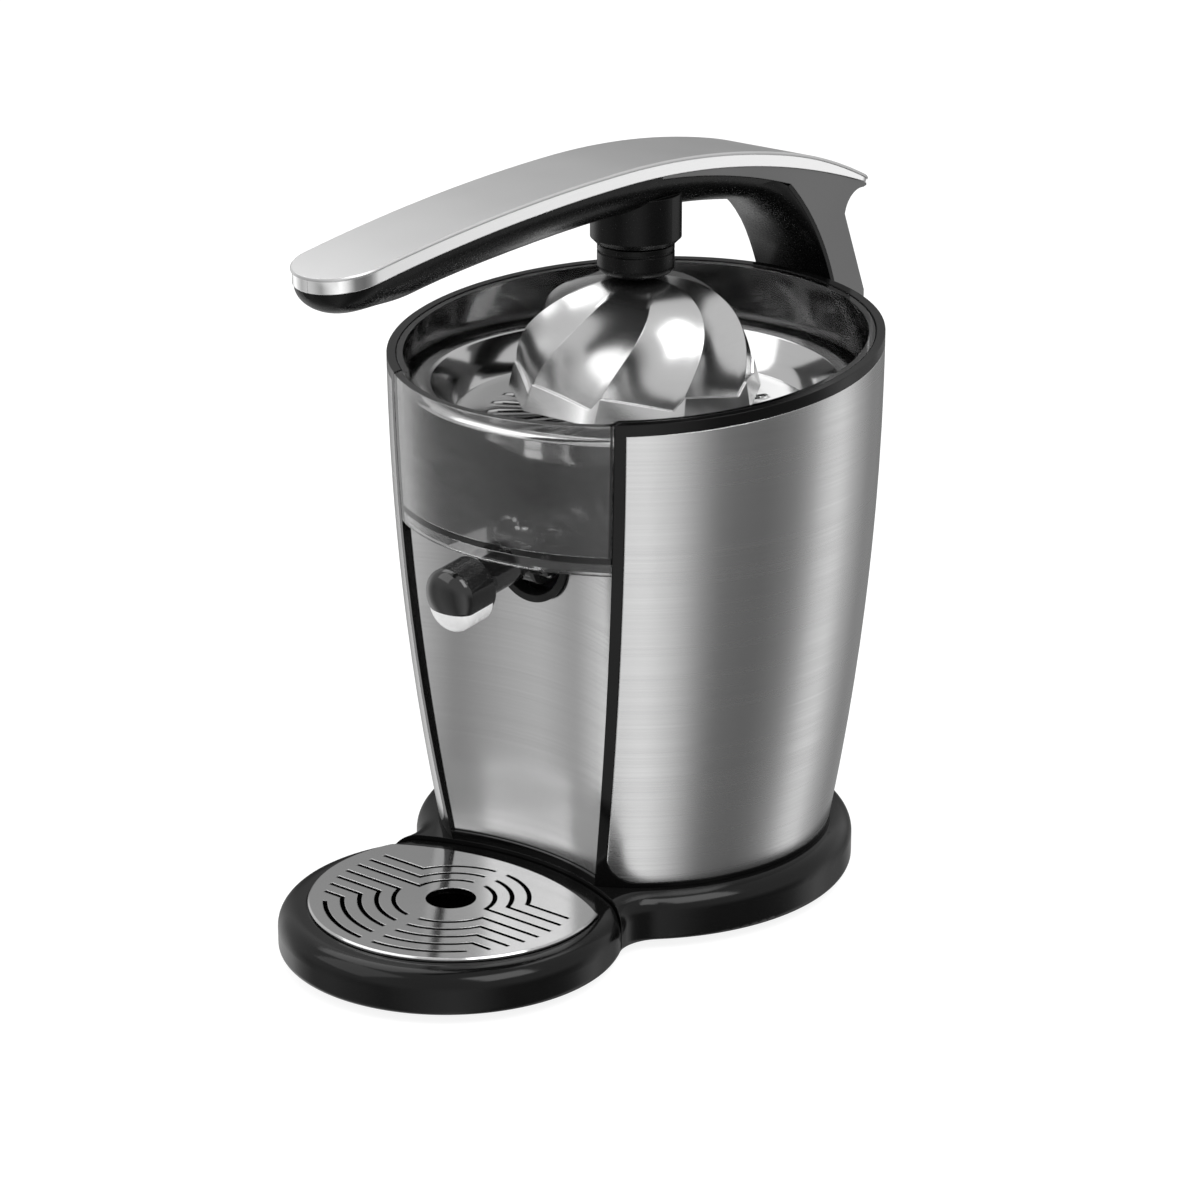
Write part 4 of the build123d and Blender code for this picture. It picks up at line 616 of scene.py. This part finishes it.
def droop(y):
    """How far the arm's upper face hangs lower towards the beak at the back."""
    share = max(0.0, (y - arm_droop_start) / (arm_back - arm_droop_start))
    return arm_droop * share ** 2


def arm_half(y, inset):
    """Half the arm's width, round at the tip and with round corners at the beak."""
    middle = arm_front + arm_tip_half
    if y < middle:
        return math.sqrt(max(0.0, (arm_tip_half - inset) ** 2 - (middle - y) ** 2))
    widening = (arm_beak_half - arm_tip_half) * (y - middle) / (arm_back - middle)
    into = max(0.0, y - (arm_back - inset - arm_beak_corner))
    corner = math.sqrt(max(0.0, arm_beak_corner ** 2 - into ** 2))
    return arm_tip_half - inset + widening - arm_beak_corner + corner


def plank(name, slot_name, finishes, inset, bevel, upper, lower):
    """A curved layer of the arm between two heights, with a bevelled upper edge."""
    front, back = arm_front + inset, arm_back - inset
    rows = []
    for i in range(arm_steps + 1):
        y = front + (back - front) * (1 - math.cos(math.pi * i / arm_steps)) / 2
        half = max(arm_half(y, inset), arm_least_half)
        side = max(half - bevel, arm_least_top)
        top, bottom = upper(y), lower(y)
        rows.append([(-side, y, top), (side, y, top), (half, y, top - bevel),
                     (half, y, bottom), (-half, y, bottom), (-half, y, top - bevel)])
    points, faces = capped(rows, flipped=True)
    piece(name, points, faces, "arm", slot_name, finishes, [name.replace("_skin", "")])


def arm_skins(finishes):
    """The top plate, and the bright band under it that runs out into the beak."""
    plank("arm_cover_skin", "satin_silver", finishes, 0.0, cover_bevel,
          lambda y: arm_top(y) - droop(y),
          lambda y: arm_top(y) - droop(y) - cover_depth)
    plank("arm_trim_skin", "bright_trim", finishes, trim_inset, trim_bevel,
          lambda y: arm_top(y) - droop(y) - cover_depth - trim_gap,
          lambda y: arm_top(y) - band_depth)


def saddle(finishes):
    """The belly of the arm where it runs down into the post: a bulge that dies out."""
    rows = []
    final = len(saddle_line) - 1
    for place, (y, z, bulge, half) in enumerate(saddle_line):
        before, after = saddle_line[max(place - 1, 0)], saddle_line[min(place + 1, final)]
        run, rise = after[0] - before[0], after[1] - before[1]
        length = math.hypot(run, rise)
        out_y, out_z = rise / length, -run / length
        level = []
        for i in range(saddle_steps + 1):
            angle = math.pi * i / saddle_steps
            reach = bulge * math.sin(angle)
            level.append((-half * math.cos(angle), y + out_y * reach, z + out_z * reach))
        for side in (half, -half):
            level.append((side, y - out_y * saddle_back, z - out_z * saddle_back))
        rows.append(level)
    points, faces = capped(rows)
    piece("liner_saddle", points, faces, "arm", "matte_black", finishes)


def aim(obj, place, target):
    obj.location = place
    obj.rotation_euler = (target - place).to_track_quat("-Z", "Y").to_euler()
    bpy.context.scene.collection.objects.link(obj)


def around(azimuth, elevation, distance):
    a, e = math.radians(azimuth), math.radians(elevation)
    return Vector((math.cos(a) * math.cos(e), math.sin(a) * math.cos(e), math.sin(e))) * distance


def camera():
    view = bpy.data.cameras.new("camera")
    view.sensor_width = camera_sensor
    view.lens = camera_lens
    eye = bpy.data.objects.new("camera", view)
    aim(eye, camera_eye, camera_target)
    bpy.context.scene.camera = eye


def lamp(name, azimuth, elevation, power, side):
    light = bpy.data.lights.new(name, "AREA")
    light.energy = power
    light.size = side
    middle = (cad_box[0] + cad_box[1]) / 2
    place = middle + around(azimuth, elevation, lamp_distance)
    aim(bpy.data.objects.new(name, light), place, middle)


def floor():
    """A plain pale floor that is white to the camera but keeps the object's shadow."""
    bpy.ops.mesh.primitive_circle_add(vertices=floor_sides, radius=floor_radius, fill_type="NGON")
    ground = bpy.context.object
    ground.name = "floor"
    ground.location.z = cad_box[0].z - floor_drop
    ground.visible_glossy = False
    material = bpy.data.materials.new("pale_floor")
    material.use_nodes = True
    tree = material.node_tree
    tree.nodes.clear()
    paint = node(tree, "BsdfDiffuse", {"Color": grey(floor_shade)}).outputs["BSDF"]
    settings = {"Color": grey(1.0), "Strength": floor_glow}
    glow = node(tree, "Emission", settings).outputs["Emission"]
    shown = node(tree, "LightPath").outputs["Is Camera Ray"]
    settings = {0: shown, 1: 1 - floor_shadow_share}
    share = node(tree, "Math", settings, operation="MULTIPLY").outputs[0]
    mixed = node(tree, "MixShader", {0: share, 1: paint, 2: glow}).outputs["Shader"]
    node(tree, "OutputMaterial", {"Surface": mixed})
    ground.data.materials.append(material)


def glowing(tree, color, strength):
    settings = {"Color": color, "Strength": strength}
    return node(tree, "Background", settings).outputs["Background"]


def world():
    """White to the camera, plain to diffuse light, and pale and dark flats to metal."""
    sky = bpy.data.worlds.new("studio")
    bpy.context.scene.world = sky
    sky.use_nodes = True
    tree = sky.node_tree
    tree.nodes.clear()
    heading = node(tree, "TexCoord").outputs["Generated"]
    turn = node(tree, "TexGradient", {"Vector": heading}, gradient_type="RADIAL").outputs["Fac"]
    flats = node(tree, "ValToRGB", {"Fac": turn})
    stops = flats.color_ramp.elements
    for place, (azimuth, brightness) in enumerate(studio_flats):
        share = (azimuth + 180) / 360
        stop = stops.new(share) if place else stops[0]
        stop.position = share
        stop.color = grey(brightness)
    stops[-1].position = 1.0
    stops[-1].color = grey(studio_flats[0][1])
    height = node(tree, "SeparateXYZ", {"Vector": heading}).outputs["Z"]
    rise = between(tree, height, 0.0, 1.0, sky_blend)
    settings = {0: rise, 1: flats.outputs["Color"], 2: grey(sky_brightness)}
    open_sky = node(tree, "MixRGB", settings).outputs[0]
    settings = {0: heading, 1: around(*backdrop_heading, 1.0)}
    toward = node(tree, "VectorMath", settings, operation="DOT_PRODUCT").outputs["Value"]
    edges = [math.cos(math.radians(angle)) for angle in (backdrop_end, backdrop_full)]
    cloth = between(tree, toward, 0.0, 1.0, edges)
    settings = {0: cloth, 1: open_sky, 2: grey(backdrop_brightness)}
    around_it = node(tree, "MixRGB", settings).outputs[0]
    seen = glowing(tree, grey(1.0), 1.0)
    lit = glowing(tree, grey(1.0), ambient_strength)
    mirrored = glowing(tree, around_it, 1.0)
    path = node(tree, "LightPath").outputs
    settings = {0: path["Is Glossy Ray"], 1: path["Is Transmission Ray"]}
    shiny = node(tree, "Math", settings, operation="MAXIMUM").outputs[0]
    soft = node(tree, "MixShader", {0: shiny, 1: lit, 2: mirrored}).outputs["Shader"]
    settings = {0: path["Is Camera Ray"], 1: soft, 2: seen}
    whole = node(tree, "MixShader", settings).outputs["Shader"]
    node(tree, "OutputWorld", {"Surface": whole})


coats = dress()
juicing_cone(coats)
strainer(coats)
spring_coil(coats)
spout_lip(coats)
arm_skins(coats)
saddle(coats)
camera()
world()
floor()
for lamp_name, lamp_settings in lamps.items():
    lamp(lamp_name, *lamp_settings)
bpy.context.scene.view_settings.view_transform = "Standard"
